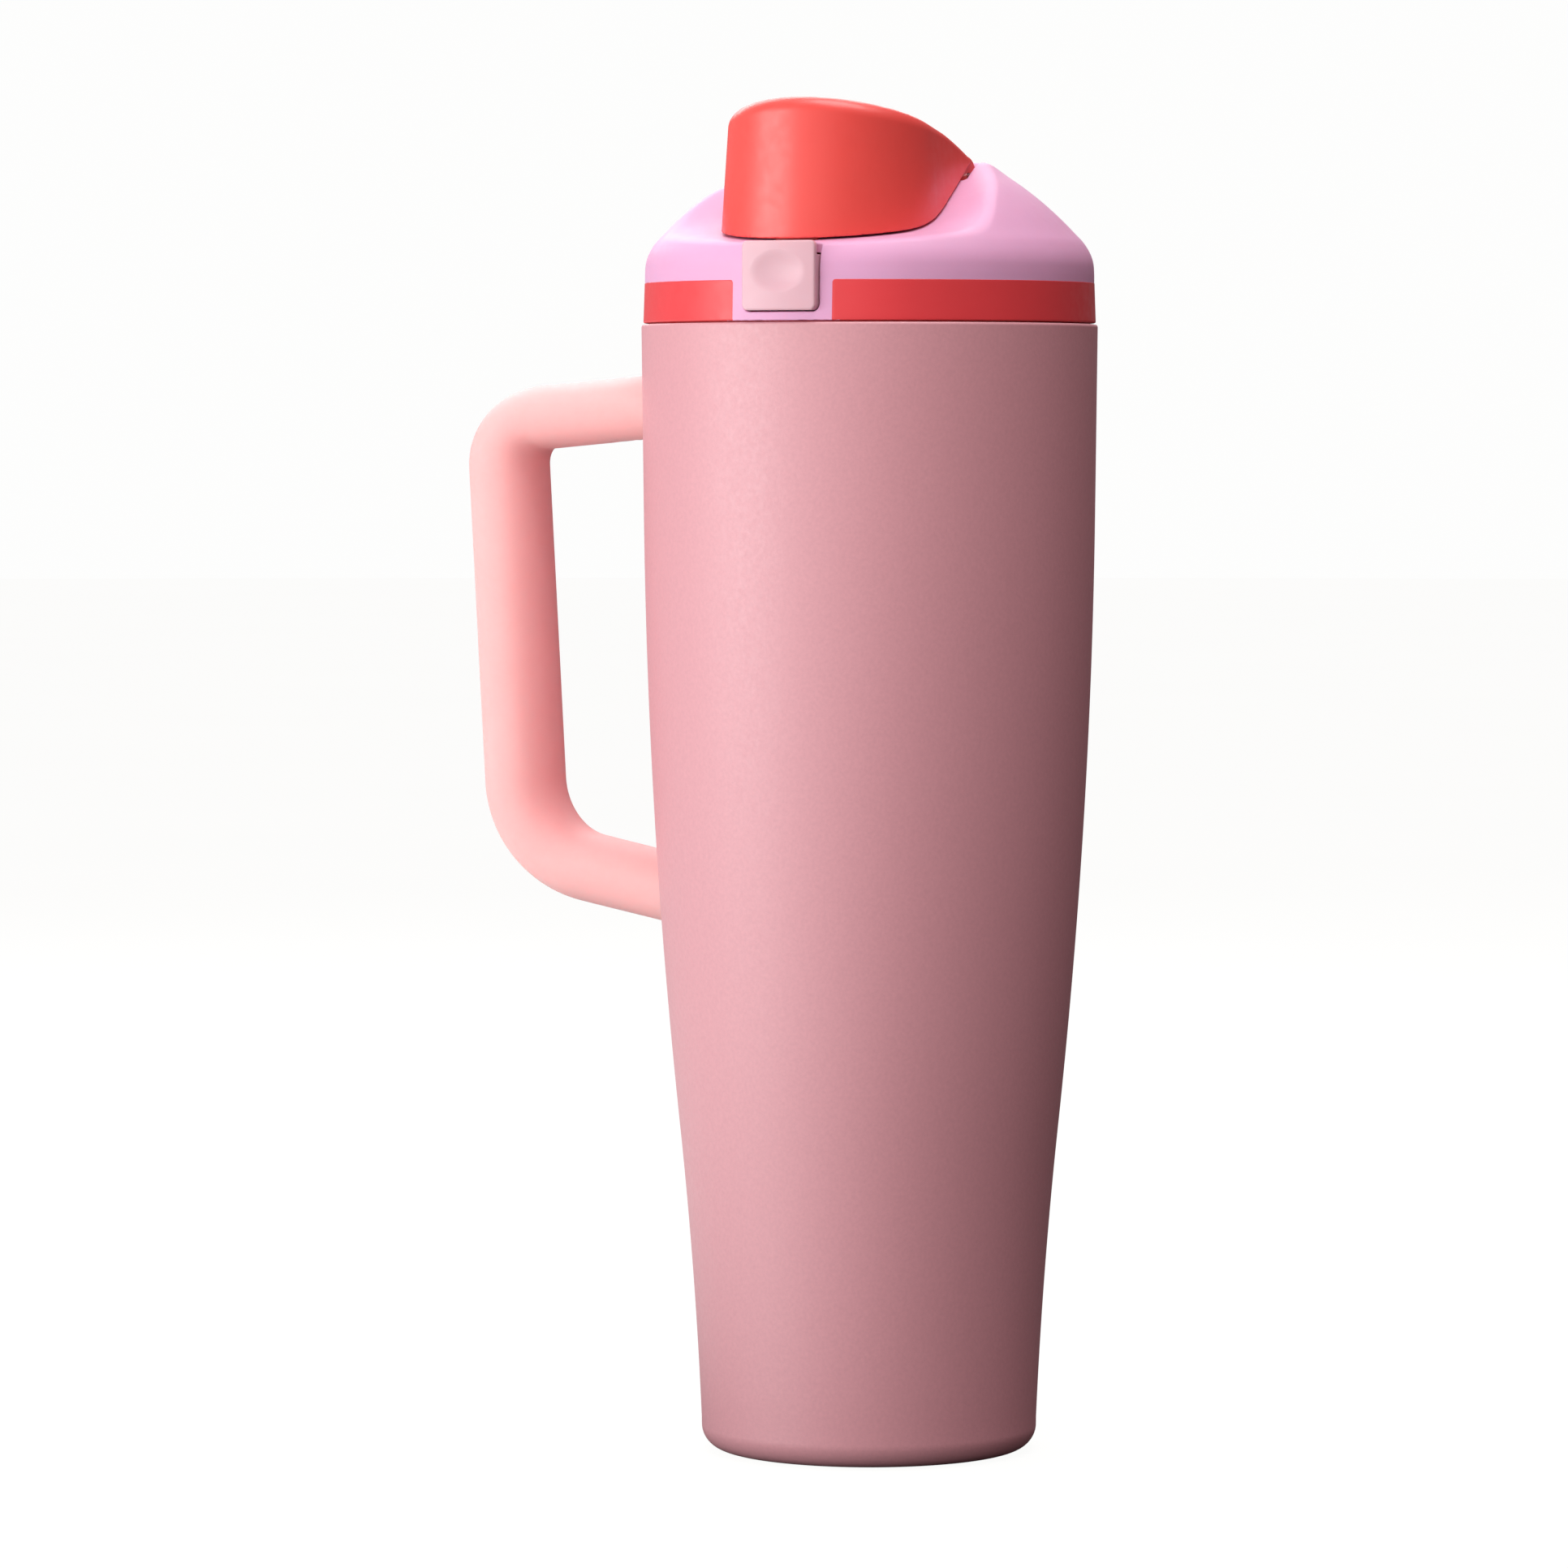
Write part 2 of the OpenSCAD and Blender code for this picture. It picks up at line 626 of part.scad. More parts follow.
// ---- button and latch ----
module button_cap() {
    round_r = 1.6;
    back_y = -46.9;
    thin_back_y = -49;
    stop_y = -45.8;
    face_r = 51;
    dish_r = 26;
    color(pale_pink)
        union() {
            difference() {
                intersection() {
                    translate([0, back_y, button_z]) rotate([90, 0, 0]) linear_extrude(height = 6)
                        hull() {
                            for (s = [-1, 1]) translate([s * (button_w / 2 - round_r), round_r])
                                circle(r = round_r, $fn = 32);
                            translate([-button_w / 2, button_h - 0.4]) square([button_w, 0.4]);
                        }
                    translate([0, 0, button_z - 1]) cylinder(r = face_r, h = button_h + 2);
                }
                // finger dish
                translate([0, -face_r - dish_r + 0.75, button_z + button_h * 0.55])
                    scale([1.3, 1, 1]) sphere(r = dish_r, $fn = 64);
                // the upper edge is thin, so it stays in front of the scoop's floor
                translate([-10, thin_back_y, lip_under_z - 0.3]) cube([20, 10, 10]);
            }
            // guide block and stop flanges behind the tab, round the spring's seat
            difference() {
                union() {
                    translate([-6, back_y - 0.1, 251.2]) cube([12, 2, 7]);
                    translate([-9.5, stop_y, 251.2]) cube([19, 1, 7]);
                }
                translate([0, back_y + 0.4, spring_z]) rotate([-90, 0, 0]) cylinder(r = 2.8, h = 10);
            }
        }
}

module latch_slider() {
    front_y = -46.9;
    tooth_y = tongue_y + tongue_t + barb + 0.1;
    rear_y = tooth_y + 1.4;
    color("white")
        difference() {
            translate([-latch_half_w, front_y, latch_z])
                cube([2 * latch_half_w, rear_y - front_y, latch_t]);
            translate([-tongue_half_w - 0.6, tongue_y - 3.2, latch_z - 1])
                cube([2 * tongue_half_w + 1.2, tooth_y - tongue_y + 3.2, latch_t + 2]);
        }
}

// ---- flip cover ----
cover_c = -20;                     // centre of the round front
foot_ref_z = 265;                  // height at which cover_r is measured
crest = [-44.5, 296.9];            // where the front and top lines would meet, before rounding
crest_r = 5;

// outline of the cover in plan, tapering upwards
module cover_plan(inset) {
    low = foot_ref_z - 6;
    high = 300;
    r_at_low = cover_r - inset + 6 * tan(cover_draft);
    r_at_high = cover_r - inset - (high - foot_ref_z) * tan(cover_draft);
    hull()
        for (y = [cover_c, hinge_y + 8]) translate([0, y, low])
            cylinder(r1 = r_at_low, r2 = r_at_high, h = high - low);
}
// side outline of the cover's body: scoop line below, sloping top above, round crest and tail
module cover_side(inset, foot_drop) {
    tail = [hinge_y, hinge_z];
    tail_r = barrel_r - inset;
    knee = crest + 37 * [cos(-cover_slope), sin(-cover_slope)];
    polygon(concat(
        [[-60, scoop_points(-foot_drop, -60)[0][1]]],
        [for (p = scoop_points(-foot_drop, -60)) if (p[0] < hinge_y - barrel_r) p],
        [[hinge_y - barrel_r, scoop_line(hinge_y - barrel_r) + foot_drop], tail],
        [tail + tail_r * [cos(tail_angle), sin(tail_angle)]],
        [knee - inset * [sin(cover_slope), cos(cover_slope)]],
        [for (a = [90 - cover_slope:15:180])
            crest + [crest_r * tan(45 - cover_slope / 2) + inset, -crest_r - 0.9]
                + (crest_r - inset) * [cos(a), sin(a)]],
        [[crest[0] + inset - 0.6, crest[1] - 12], [-60, crest[1] - 12]]));
}

module cover_shell() {
    color(coral)
        difference() {
            union() {
                intersection() {
                    cover_plan(0);
                    across(40) cover_side(0, 0);
                }
                translate([-barrel_half_w, hinge_y, hinge_z]) rotate([0, 90, 0])
                    cylinder(r = barrel_r, h = 2 * barrel_half_w);
            }
            // hollow inside
            intersection() {
                cover_plan(cover_t);
                across(40) cover_side(cover_t, -10);
                translate([-40, -60, 200]) cube([80, 60 + hinge_y - barrel_r - 1.2, 120]);
            }
            translate([-40, hinge_y, hinge_z]) rotate([0, 90, 0]) cylinder(r = 1.3, h = 80);
            // pocket for the torsion spring, open below
            translate([-5.2, hinge_y, hinge_z]) rotate([0, 90, 0]) cylinder(r = 3.4, h = 10.4);
            translate([-5.2, hinge_y - 3.4, hinge_z - 8]) cube([10.4, 6.8, 8]);
        }
}

module cover_frame() {
    // inner plate under the cover's top, with the tongue that the latch holds
    color(coral) {
        intersection() {
            cover_plan(cover_t + 0.05);
            translate([0, spout_y, lip_z]) rotate([-cover_slope, 0, 0])
                translate([-30, -30, 2.7]) cube([60, 45, 1.6]);
        }
        translate([-tongue_half_w, tongue_y, 257.6])
            cube([2 * tongue_half_w, tongue_t, 34.4]);
        translate([-tongue_half_w, tongue_y, 257.6])
            cube([2 * tongue_half_w, tongue_t + barb, latch_z - 257.6 - 0.2]);
    }
}

module cover_seal() {
    color(silicone)
        translate([0, spout_y, lip_z]) rotate([-cover_slope, 0, 0]) {
            translate([0, 0, 0.15]) cylinder(r = 13, h = 2.5);
            translate([0, (straw_y - spout_y) / cos(cover_slope), -1.6]) cylinder(r = 2.1, h = 2);
        }
}

outer_shell();
inner_liner();
base_plate();
vacuum_seal_bead();
getter();
reflective_foil();
upper_bracket();
lower_bracket();
handle_core();
handle_grip();
handle_screws();
screw_plugs();
lid_gasket();
lid_base();
lid_dome();
spout();
spout_gasket();
vent_valve();
straw();
hinge_pin();
hinge_spring();
button_spring();
button_cap();
latch_slider();
cover_shell();
cover_frame();
cover_seal();
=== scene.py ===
import math

import bmesh
import bpy
import numpy as np
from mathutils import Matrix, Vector


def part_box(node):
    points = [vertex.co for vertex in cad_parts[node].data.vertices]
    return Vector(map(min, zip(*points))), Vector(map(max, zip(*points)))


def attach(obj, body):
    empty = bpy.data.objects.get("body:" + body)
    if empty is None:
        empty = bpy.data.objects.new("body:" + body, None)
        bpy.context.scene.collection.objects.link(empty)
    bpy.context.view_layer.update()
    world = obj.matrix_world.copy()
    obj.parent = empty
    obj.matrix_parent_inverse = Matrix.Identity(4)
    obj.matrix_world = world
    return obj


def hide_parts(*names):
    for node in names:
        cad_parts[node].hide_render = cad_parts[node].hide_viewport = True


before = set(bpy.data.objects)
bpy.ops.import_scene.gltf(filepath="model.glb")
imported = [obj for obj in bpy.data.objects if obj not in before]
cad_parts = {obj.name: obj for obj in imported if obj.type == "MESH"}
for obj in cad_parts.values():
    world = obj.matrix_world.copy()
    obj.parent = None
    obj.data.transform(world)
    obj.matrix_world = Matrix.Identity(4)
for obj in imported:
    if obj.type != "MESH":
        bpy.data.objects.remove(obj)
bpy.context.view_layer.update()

# Shapes are worked out in millimetres in the CAD frame, and turned into metres when a mesh is made.
# The floor, the lamps and the camera are in metres.
MM = 0.001
SHARP = 38  # edges above this many degrees stay sharp on turned pieces


def span(node):
    """The low and high corners of a CAD node's box."""
    lo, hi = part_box(node)
    return np.array(lo) / MM, np.array(hi) / MM


def middle(node):
    lo, hi = span(node)
    return (lo + hi) / 2


def rad(a):
    return a * math.pi / 180


# ---------------------------------------------------------------- signed distance shapes
def rmax(a, b, r):
    """Overlap of two shapes, with the edge rounded to radius r."""
    return np.minimum(-r, np.maximum(a, b)) + np.hypot(np.maximum(a + r, 0), np.maximum(b + r, 0))


def rmin(a, b, r):
    """Union of two shapes, with the inner corner filleted to radius r."""
    return -rmax(-a, -b, r)


def rcut(a, b, r):
    """a with b cut away, and the edge between them rounded to radius r."""
    return rmax(a, -b, r)


def blend(a, b, k):
    """Overlap of two nearly parallel faces, eased over a difference of k."""
    h = np.maximum(k - np.abs(a - b), 0) / k
    return np.maximum(a, b) + h * h * k / 4


def ramp(v, start, end):
    """From 0 at start to 1 at end, easing in and out."""
    t = np.clip((v - start) / (end - start), 0, 1)
    return t * t * (3 - 2 * t)


def box3(x, y, z, lo, hi, r):
    """A box with rounded edges."""
    q = [np.abs(v - (l + h) / 2) - (h - l) / 2 + r for v, l, h in zip((x, y, z), lo, hi)]
    out = np.sqrt(sum(np.maximum(v, 0) ** 2 for v in q))
    return out + np.minimum(np.maximum(q[0], np.maximum(q[1], q[2])), 0) - r


def rect2(u, v, cu, cv, hu, hv, r):
    """A rounded rectangle in a plane, from its centre and its half sizes."""
    qu, qv = np.abs(u - cu) - hu + r, np.abs(v - cv) - hv + r
    return np.hypot(np.maximum(qu, 0), np.maximum(qv, 0)) + np.minimum(np.maximum(qu, qv), 0) - r


def ticks(lo, hi, h, fine=None):
    """Grid lines from lo to hi, h apart, but fine[2] apart between fine[0] and fine[1]."""
    out = [lo]
    while out[-1] < hi:
        near = fine is not None and fine[0] <= out[-1] < fine[1]
        out.append(out[-1] + (fine[2] if near else h))
    return np.array(out)


def grid_over(lo, hi, margin, h):
    """Grid lines over a box and a margin round it. h is one distance, or one for each axis."""
    return [ticks(a - margin, b + margin, d) for a, b, d in zip(lo, hi, np.broadcast_to(h, 3))]


def link_object(name, data):
    ob = bpy.data.objects.new(name, data)
    bpy.context.scene.collection.objects.link(ob)
    return ob


def from_bmesh(name, bm):
    me = bpy.data.meshes.new(name)
    bm.to_mesh(me)
    bm.free()
    return link_object(name, me)


def make_mesh(name, co, quads):
    me = bpy.data.meshes.new(name)
    quads = np.asarray(quads, np.int32)
    me.vertices.add(len(co))
    me.vertices.foreach_set("co", (np.asarray(co, float) * MM).ravel())
    me.loops.add(quads.size)
    me.loops.foreach_set("vertex_index", quads.ravel())
    me.polygons.add(len(quads))
    me.polygons.foreach_set("loop_start", np.arange(len(quads), dtype=np.int32) * quads.shape[1])
    me.polygons.foreach_set("use_smooth", np.ones(len(quads), bool))
    me.update(calc_edges=True)
    me.validate()
    return link_object(name, me)


PROBE = 0.01


def differences(f, co):
    """The change of f across each point, along X, Y and Z."""
    x, y, z = co.T
    return np.stack([f(x + PROBE, y, z) - f(x - PROBE, y, z), f(x, y + PROBE, z) - f(x, y - PROBE, z),
                     f(x, y, z + PROBE) - f(x, y, z - PROBE)], 1)


def sculpt(name, f, xs, ys, zs):
    """A closed quad mesh of the surface f(x, y, z) = 0, with its points moved onto it."""
    grid = (xs, ys, zs)
    v = np.empty((len(xs), len(ys), len(zs)), np.float32)
    slab = 24  # planes worked out at a time, to save memory
    for i in range(0, len(xs), slab):
        v[i:i + slab] = f(*np.meshgrid(xs[i:i + slab], ys, zs, indexing="ij"))
    inside = v < 0
    cell_of = lambda ijk: (ijk[0] * len(ys) + ijk[1]) * len(zs) + ijk[2]
    ids, pts, faces = [], [], []
    for a in range(3):
        b, c = (a + 1) % 3, (a + 2) % 3
        head = [slice(None)] * 3
        tail = [slice(None)] * 3
        head[a], tail[a] = slice(0, -1), slice(1, None)
        p = np.array(np.nonzero(inside[tuple(head)] != inside[tuple(tail)]))
        q = p.copy()
        q[a] += 1
        v0, v1 = v[tuple(p)], v[tuple(q)]
        t = v0 / (v0 - v1)
        pos = np.stack([grid[k][p[k]] for k in range(3)], 1).astype(float)
        pos[:, a] += t * (grid[a][q[a]] - grid[a][p[a]])
        ring = []
        for db, dc in ((0, 0), (-1, 0), (-1, -1), (0, -1)):
            s = p.copy()
            s[b] += db
            s[c] += dc
            ring.append(cell_of(s))
            ids.append(ring[-1])
            pts.append(pos)
        ring = np.stack(ring, 1)
        flip = ~inside[tuple(p)]
        ring[flip] = ring[flip][:, ::-1]
        faces.append(ring)
    ids, pts, faces = np.concatenate(ids), np.concatenate(pts), np.concatenate(faces)
    cells, back = np.unique(ids, return_inverse=True)
    count = np.bincount(back)
    co = np.stack([np.bincount(back, pts[:, k]) / count for k in range(3)], 1)
    quads = np.searchsorted(cells, faces)
    step = 0.6 * min(np.diff(xs).min(), np.diff(ys).min(), np.diff(zs).min())
    for _ in range(4):
        g = differences(f, co) / (2 * PROBE)
        size2 = np.maximum((g * g).sum(1), 0.04)
        move = g * (f(*co.T) / size2)[:, None]
        far = np.linalg.norm(move, axis=1)
        move *= np.minimum(1, step / np.maximum(far, 1e-9))[:, None]
        co = co - move
    ob = make_mesh(name, co, quads)
    g = differences(f, co)
    g /= np.maximum(np.linalg.norm(g, axis=1), 1e-9)[:, None]
    if len(ob.data.vertices) == len(co):
        ob.data.normals_split_custom_set_from_vertices(g)
    return ob


# ---------------------------------------------------------------- turned and swept shapes
def softened(points, radii, steps):
    """A closed (r, z) outline with its corners rounded. radii: one number, or {corner index: radius}."""
    pts = [np.array(p, float) for p in points]
    out = []
    n = len(pts)
    for i, p in enumerate(pts):
        r = radii.get(i, 0) if isinstance(radii, dict) else radii
        a, c = pts[i - 1] - p, pts[(i + 1) % n] - p
        la, lc = np.linalg.norm(a), np.linalg.norm(c)
        if r <= 0 or la < 1e-6 or lc < 1e-6:
            out.append(p)
            continue
        a, c = a / la, c / lc
        half = math.acos(max(-1, min(1, float(a @ c)))) / 2
        if half > rad(86) or half < rad(2):
            out.append(p)
            continue
        cut = min(r / math.tan(half), 0.45 * la, 0.45 * lc)
        r = cut * math.tan(half)
        centre = p + (a + c) / np.linalg.norm(a + c) * r / math.sin(half)
        s, e = p + a * cut - centre, p + c * cut - centre
        a0 = math.atan2(s[1], s[0])
        turn = (math.atan2(e[1], e[0]) - a0 + math.pi) % (2 * math.pi) - math.pi
        for k in range(steps + 1):
            w = a0 + turn * k / steps
            out.append(centre + r * np.array([math.cos(w), math.sin(w)]))
    return out


def arc(cx, cz, r, a0, a1, steps):
    """Points (r, z) on an arc from angle a0 to a1, in degrees."""
    return [(cx + r * math.cos(rad(a0 + (a1 - a0) * i / steps)),
             cz + r * math.sin(rad(a0 + (a1 - a0) * i / steps))) for i in range(steps + 1)]


def add_turned(bm, outline, n, place=tuple):
    """Turns a closed (r, z) outline round Z. place moves its points."""
    rings = []
    for r, z in outline:
        if r < 1e-6:
            rings.append([bm.verts.new(place((0, 0, z)))])
        else:
            around = [2 * math.pi * i / n for i in range(n)]
            rings.append([bm.verts.new(place((r * math.cos(w), r * math.sin(w), z))) for w in around])
    for k in range(len(rings)):
        a, b = rings[k], rings[(k + 1) % len(rings)]
        if len(a) == 1 and len(b) == 1:
            continue
        for i in range(n):
            j = (i + 1) % n
            if len(a) == 1:
                bm.faces.new((a[0], b[j], b[i]))
            elif len(b) == 1:
                bm.faces.new((a[i], a[j], b[0]))
            else:
                bm.faces.new((a[i], a[j], b[j], b[i]))


def lathe(name, outline, n, place=None):
    """A turned piece. place moves its points afterwards."""
    bm = bmesh.new()
    add_turned(bm, outline, n)
    return finish_bmesh(name, bm, place)


def finish_bmesh(name, bm, place=None, sharp=SHARP):
    bmesh.ops.recalc_face_normals(bm, faces=bm.faces)
    for v in bm.verts:
        p = np.array(v.co)
        v.co = (place(p) if place else p) * MM
    ob = from_bmesh(name, bm)
    for p in ob.data.polygons:
        p.use_smooth = True
    ob.data.set_sharp_from_angle(angle=rad(sharp))
    even = ob.modifiers.new("even_normals", "WEIGHTED_NORMAL")
    even.keep_sharp = True
    return ob


def wire(name, points, r, sides):
    """A round wire along a line of points."""
    points = np.array(points, float)
    along = np.gradient(points, axis=0)
    along /= np.linalg.norm(along, axis=1)[:, None]
    u = np.cross(along[0], (1, 0, 0) if abs(along[0][0]) < 0.8 else (0, 1, 0))
    bm = bmesh.new()
    rings = []
    for p, t in zip(points, along):
        u = u - t * (u @ t)
        u /= np.linalg.norm(u)
        w = np.cross(t, u)
        rings.append([bm.verts.new(p + r * (math.cos(a) * u + math.sin(a) * w))
                      for a in (2 * math.pi * k / sides for k in range(sides))])
    for a, b in zip(rings, rings[1:]):
        for k in range(sides):
            bm.faces.new((a[k], a[(k + 1) % sides], b[(k + 1) % sides], b[k]))
    bm.faces.new(rings[0][::-1])
    bm.faces.new(rings[-1])
    return finish_bmesh(name, bm)


def drill(ob, centre, r, low, high, sides=64):
    """Cuts an upright round hole through a turned piece."""
    bm = bmesh.new()
    bmesh.ops.create_cone(bm, cap_ends=True, segments=sides, radius1=r * MM, radius2=r * MM,
                          depth=(high - low) * MM)
    at = (centre[0] * MM, centre[1] * MM, (low + high) / 2 * MM)
    bmesh.ops.translate(bm, verts=bm.verts, vec=at)
    tool = from_bmesh("cutter", bm)
    cut = ob.modifiers.new("hole", "BOOLEAN")
    cut.operation, cut.solver, cut.object = "DIFFERENCE", "EXACT", tool
    ob.modifiers.move(len(ob.modifiers) - 1, 0)
    bake_modifier(ob, "hole")
    bpy.data.objects.remove(tool)


def bake_modifier(ob, name):
    """Applies one modifier, keeping the others."""
    rest = [m for m in ob.modifiers if m.name != name]
    shown = [m.show_viewport for m in rest]
    for m in rest:
        m.show_viewport = False
    me = bpy.data.meshes.new_from_object(ob.evaluated_get(bpy.context.evaluated_depsgraph_get()))
    ob.modifiers.remove(ob.modifiers[name])
    ob.data = me
    for m, s in zip(rest, shown):
        m.show_viewport = s
    ob.data.set_sharp_from_angle(angle=rad(SHARP))


# ---------------------------------------------------------------- materials
def vector_math(tree, operation, source, other=None):
    """A vector's length, or its dot product with another."""
    n = tree.nodes.new("ShaderNodeVectorMath")
    n.operation = operation
    tree.links.new(source, n.inputs[0])
    if other is not None:
        n.inputs[1].default_value = other
    return n.outputs["Value"]


class Paint:
    """One node material: a Principled surface with its colour, roughness and relief from procedural noise."""

    def __init__(self, name, roughness, metallic=0.0, **sockets):
        self.m = bpy.data.materials.new(name)
        self.m.use_nodes = True
        self.t = self.m.node_tree
        self.t.nodes.clear()
        self.out = self.t.nodes.new("ShaderNodeOutputMaterial")
        self.b = self.t.nodes.new("ShaderNodeBsdfPrincipled")
        self.t.links.new(self.b.outputs[0], self.out.inputs[0])
        self.b.inputs["Roughness"].default_value = roughness
        self.b.inputs["Metallic"].default_value = metallic
        for k, v in sockets.items():
            self.b.inputs[k.replace("_", " ")].default_value = v
        self.where = self.t.nodes.new("ShaderNodeTexCoord").outputs["Object"]
        self.bump = None

    def stretch(self, x, y, z, source=None):
        n = self.t.nodes.new("ShaderNodeMapping")
        n.inputs["Scale"].default_value = (x, y, z)
        self.t.links.new(source or self.where, n.inputs["Vector"])
        return n.outputs[0]

    def rings(self):
        """Distance from the Z axis, as a coordinate, for turned faces."""
        c = self.t.nodes.new("ShaderNodeCombineXYZ")
        self.t.links.new(vector_math(self.t, "LENGTH", self.stretch(1, 1, 0)), c.inputs[0])
        return c.outputs[0]

    def noise(self, scale, detail, rough=0.5, source=None):
        n = self.t.nodes.new("ShaderNodeTexNoise")
        n.inputs["Scale"].default_value = scale
        n.inputs["Detail"].default_value = detail
        n.inputs["Roughness"].default_value = rough
        self.t.links.new(source or self.where, n.inputs["Vector"])
        return n.outputs["Fac"]

    def range(self, value, a, b, lo=0.3, hi=0.7):
        n = self.t.nodes.new("ShaderNodeMapRange")
        n.inputs["From Min"].default_value, n.inputs["From Max"].default_value = lo, hi
        n.inputs["To Min"].default_value, n.inputs["To Max"].default_value = a, b
        self.t.links.new(value, n.inputs["Value"])
        return n.outputs[0]

    def colour(self, value, dark, light, lo=0.3, hi=0.7):
        n = self.t.nodes.new("ShaderNodeMix")
        n.data_type = "RGBA"
        n.inputs["A"].default_value = (*dark, 1)
        n.inputs["B"].default_value = (*light, 1)
        self.t.links.new(self.range(value, 0, 1, lo, hi), n.inputs["Factor"])
        self.t.links.new(n.outputs["Result"], self.b.inputs["Base Color"])
        return self

    def roughness(self, value, a, b):
        self.t.links.new(self.range(value, a, b), self.b.inputs["Roughness"])
        return self

    def relief(self, value, depth_mm, strength):
        n = self.t.nodes.new("ShaderNodeBump")
        n.inputs["Distance"].default_value = depth_mm * MM
        n.inputs["Strength"].default_value = strength
        self.t.links.new(value, n.inputs["Height"])
        if self.bump is not None:
            self.t.links.new(self.bump, n.inputs["Normal"])
        self.bump = n.outputs[0]
        self.t.links.new(self.bump, self.b.inputs["Normal"])
        return self


def tone(c, k):
    """The colour c, k times as bright."""
    return tuple(min(1.0, v * k) for v in c)


def powder(name, c):
    p = Paint(name, 0.5, Specular_IOR_Level=0.9)
    grain = p.noise(1300, 3, 0.6)
    p.colour(grain, tone(c, 0.955), tone(c, 1.035))
    p.roughness(p.noise(900, 2), 0.42, 0.56)
    return p.relief(grain, 0.06, 0.45).relief(p.noise(260, 2), 0.10, 0.12).m


def moulded(name, c, rough, grain, through=0.0, scatter=0.0025, **sockets):
    """Moulded plastic. grain is its relief in mm, and scatter how far light spreads in it, in metres."""
    p = Paint(name, rough, **sockets)
    if through:
        p.b.inputs["Subsurface Weight"].default_value = through
        p.b.inputs["Subsurface Radius"].default_value = (1.0, 0.45, 0.40)
        p.b.inputs["Subsurface Scale"].default_value = scatter
    p.colour(p.noise(60, 3), tone(c, 0.975), tone(c, 1.02))
    p.roughness(p.noise(420, 2), rough - 0.05, rough + 0.06)
    return p.relief(p.noise(3200, 2, 0.6), grain, 0.5).relief(p.noise(90, 2), 0.06, 0.12).m


def steel(name, c, rough, scale, turned=False):
    """Metal with a fine level grain, or, where it is turned, one in rings round its axis."""
    p = Paint(name, rough, 1.0)
    source = p.stretch(scale, 40, 40, p.rings()) if turned else p.stretch(12, 12, scale)
    grain = p.noise(1.0, 4, 0.7, source)
    p.colour(grain, tone(c, 0.86), tone(c, 1.06))
    p.roughness(grain, rough - 0.07, rough + 0.1)
    return p.relief(grain, 0.012, 0.5).m


def rubber(name, c, rough, through, clear):
    p = Paint(name, rough, Subsurface_Weight=through, Subsurface_Radius=(1.0, 0.75, 0.7),
              Subsurface_Scale=0.002, Transmission_Weight=clear, IOR=1.41)
    p.colour(p.noise(140, 3), tone(c, 0.96), tone(c, 1.02))
    p.roughness(p.noise(600, 2), rough - 0.06, rough + 0.08)
    return p.relief(p.noise(1400, 2), 0.012, 0.5).m


PINK_COAT = (0.690, 0.318, 0.355)
LILAC = (0.780, 0.395, 0.610)
BAND = (0.780, 0.052, 0.060)
CORAL = (0.860, 0.074, 0.060)
HANDLE = (0.940, 0.490, 0.480)
BUTTON = (0.730, 0.435, 0.490)

mat = {
    "powder_coat": powder("powder_coat", PINK_COAT),
    "steel_brushed": steel("steel_brushed", (0.74, 0.735, 0.73), 0.36, 7000),
    "steel_raw": steel("steel_raw", (0.52, 0.52, 0.53), 0.34, 2600, True),
    "bead_glass": moulded("bead_glass", (0.030, 0.030, 0.035), 0.14, 0.004),
    "getter_grey": steel("getter_grey", (0.30, 0.30, 0.31), 0.48, 1800),
    "foil_copper": steel("foil_copper", (0.78, 0.38, 0.24), 0.20, 500),
    "handle_core": moulded("handle_core", (0.86, 0.62, 0.60), 0.5, 0.02),
    "handle_skin": moulded("handle_skin", HANDLE, 0.56, 0.014, 0.6, 0.006, Specular_IOR_Level=0.3),
    "screw_steel": steel("screw_steel", (0.58, 0.58, 0.60), 0.25, 900),
    "silicone_clear": rubber("silicone_clear", (0.82, 0.78, 0.77), 0.42, 0.5, 0.12),
    "lid_coral": moulded("lid_coral", BAND, 0.40, 0.016, 0.10, Specular_IOR_Level=0.6),
    "lid_lilac": moulded("lid_lilac", LILAC, 0.50, 0.016, 0.15, Specular_IOR_Level=0.45),
    "spout_pink": moulded("spout_pink", BUTTON, 0.34, 0.010, 0.25),
    "straw_clear": moulded("straw_clear", (0.90, 0.74, 0.77), 0.22, 0.004, 0.35,
                           Transmission_Weight=0.25),
    "button_pink": moulded("button_pink", BUTTON, 0.38, 0.012, 0.18),
    "latch_white": moulded("latch_white", (0.78, 0.78, 0.77), 0.34, 0.010, 0.1),
    "cover_coral": moulded("cover_coral", CORAL, 0.40, 0.016, 0.10, Specular_IOR_Level=0.8),
}


def put(ob, body, node, slot):
    """ob stands for a CAD node, rides on its body and takes its material slot."""
    ob.data.materials.clear()
    ob.data.materials.append(mat[slot])
    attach(ob, body)
    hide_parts(node)
    return ob


# ---------------------------------------------------------------- the cup's profile
RIM_R, _, CUP_H = span("outer_shell")[1]
WALL_T, SHELL_T, LINER_T = 3.4, 0.7, 0.6
FLOOR_Z = span("inner_liner")[0][2] + LINER_T
BASE_R, CORNER_R, FOOT_R = 36.9, 6.5, 5.3
# the side's slope grows from the foot to STEEP_Z, falls to STRAIGHT_Z and stays the same above
STEEP_Z, STRAIGHT_Z = 72.0, 205.0
FOOT_SLOPE, STEEP_SLOPE, TOP_SLOPE = 0.043, 0.106, 0.012
NECK_R, NECK_Z = RIM_R - WALL_T, 230.0


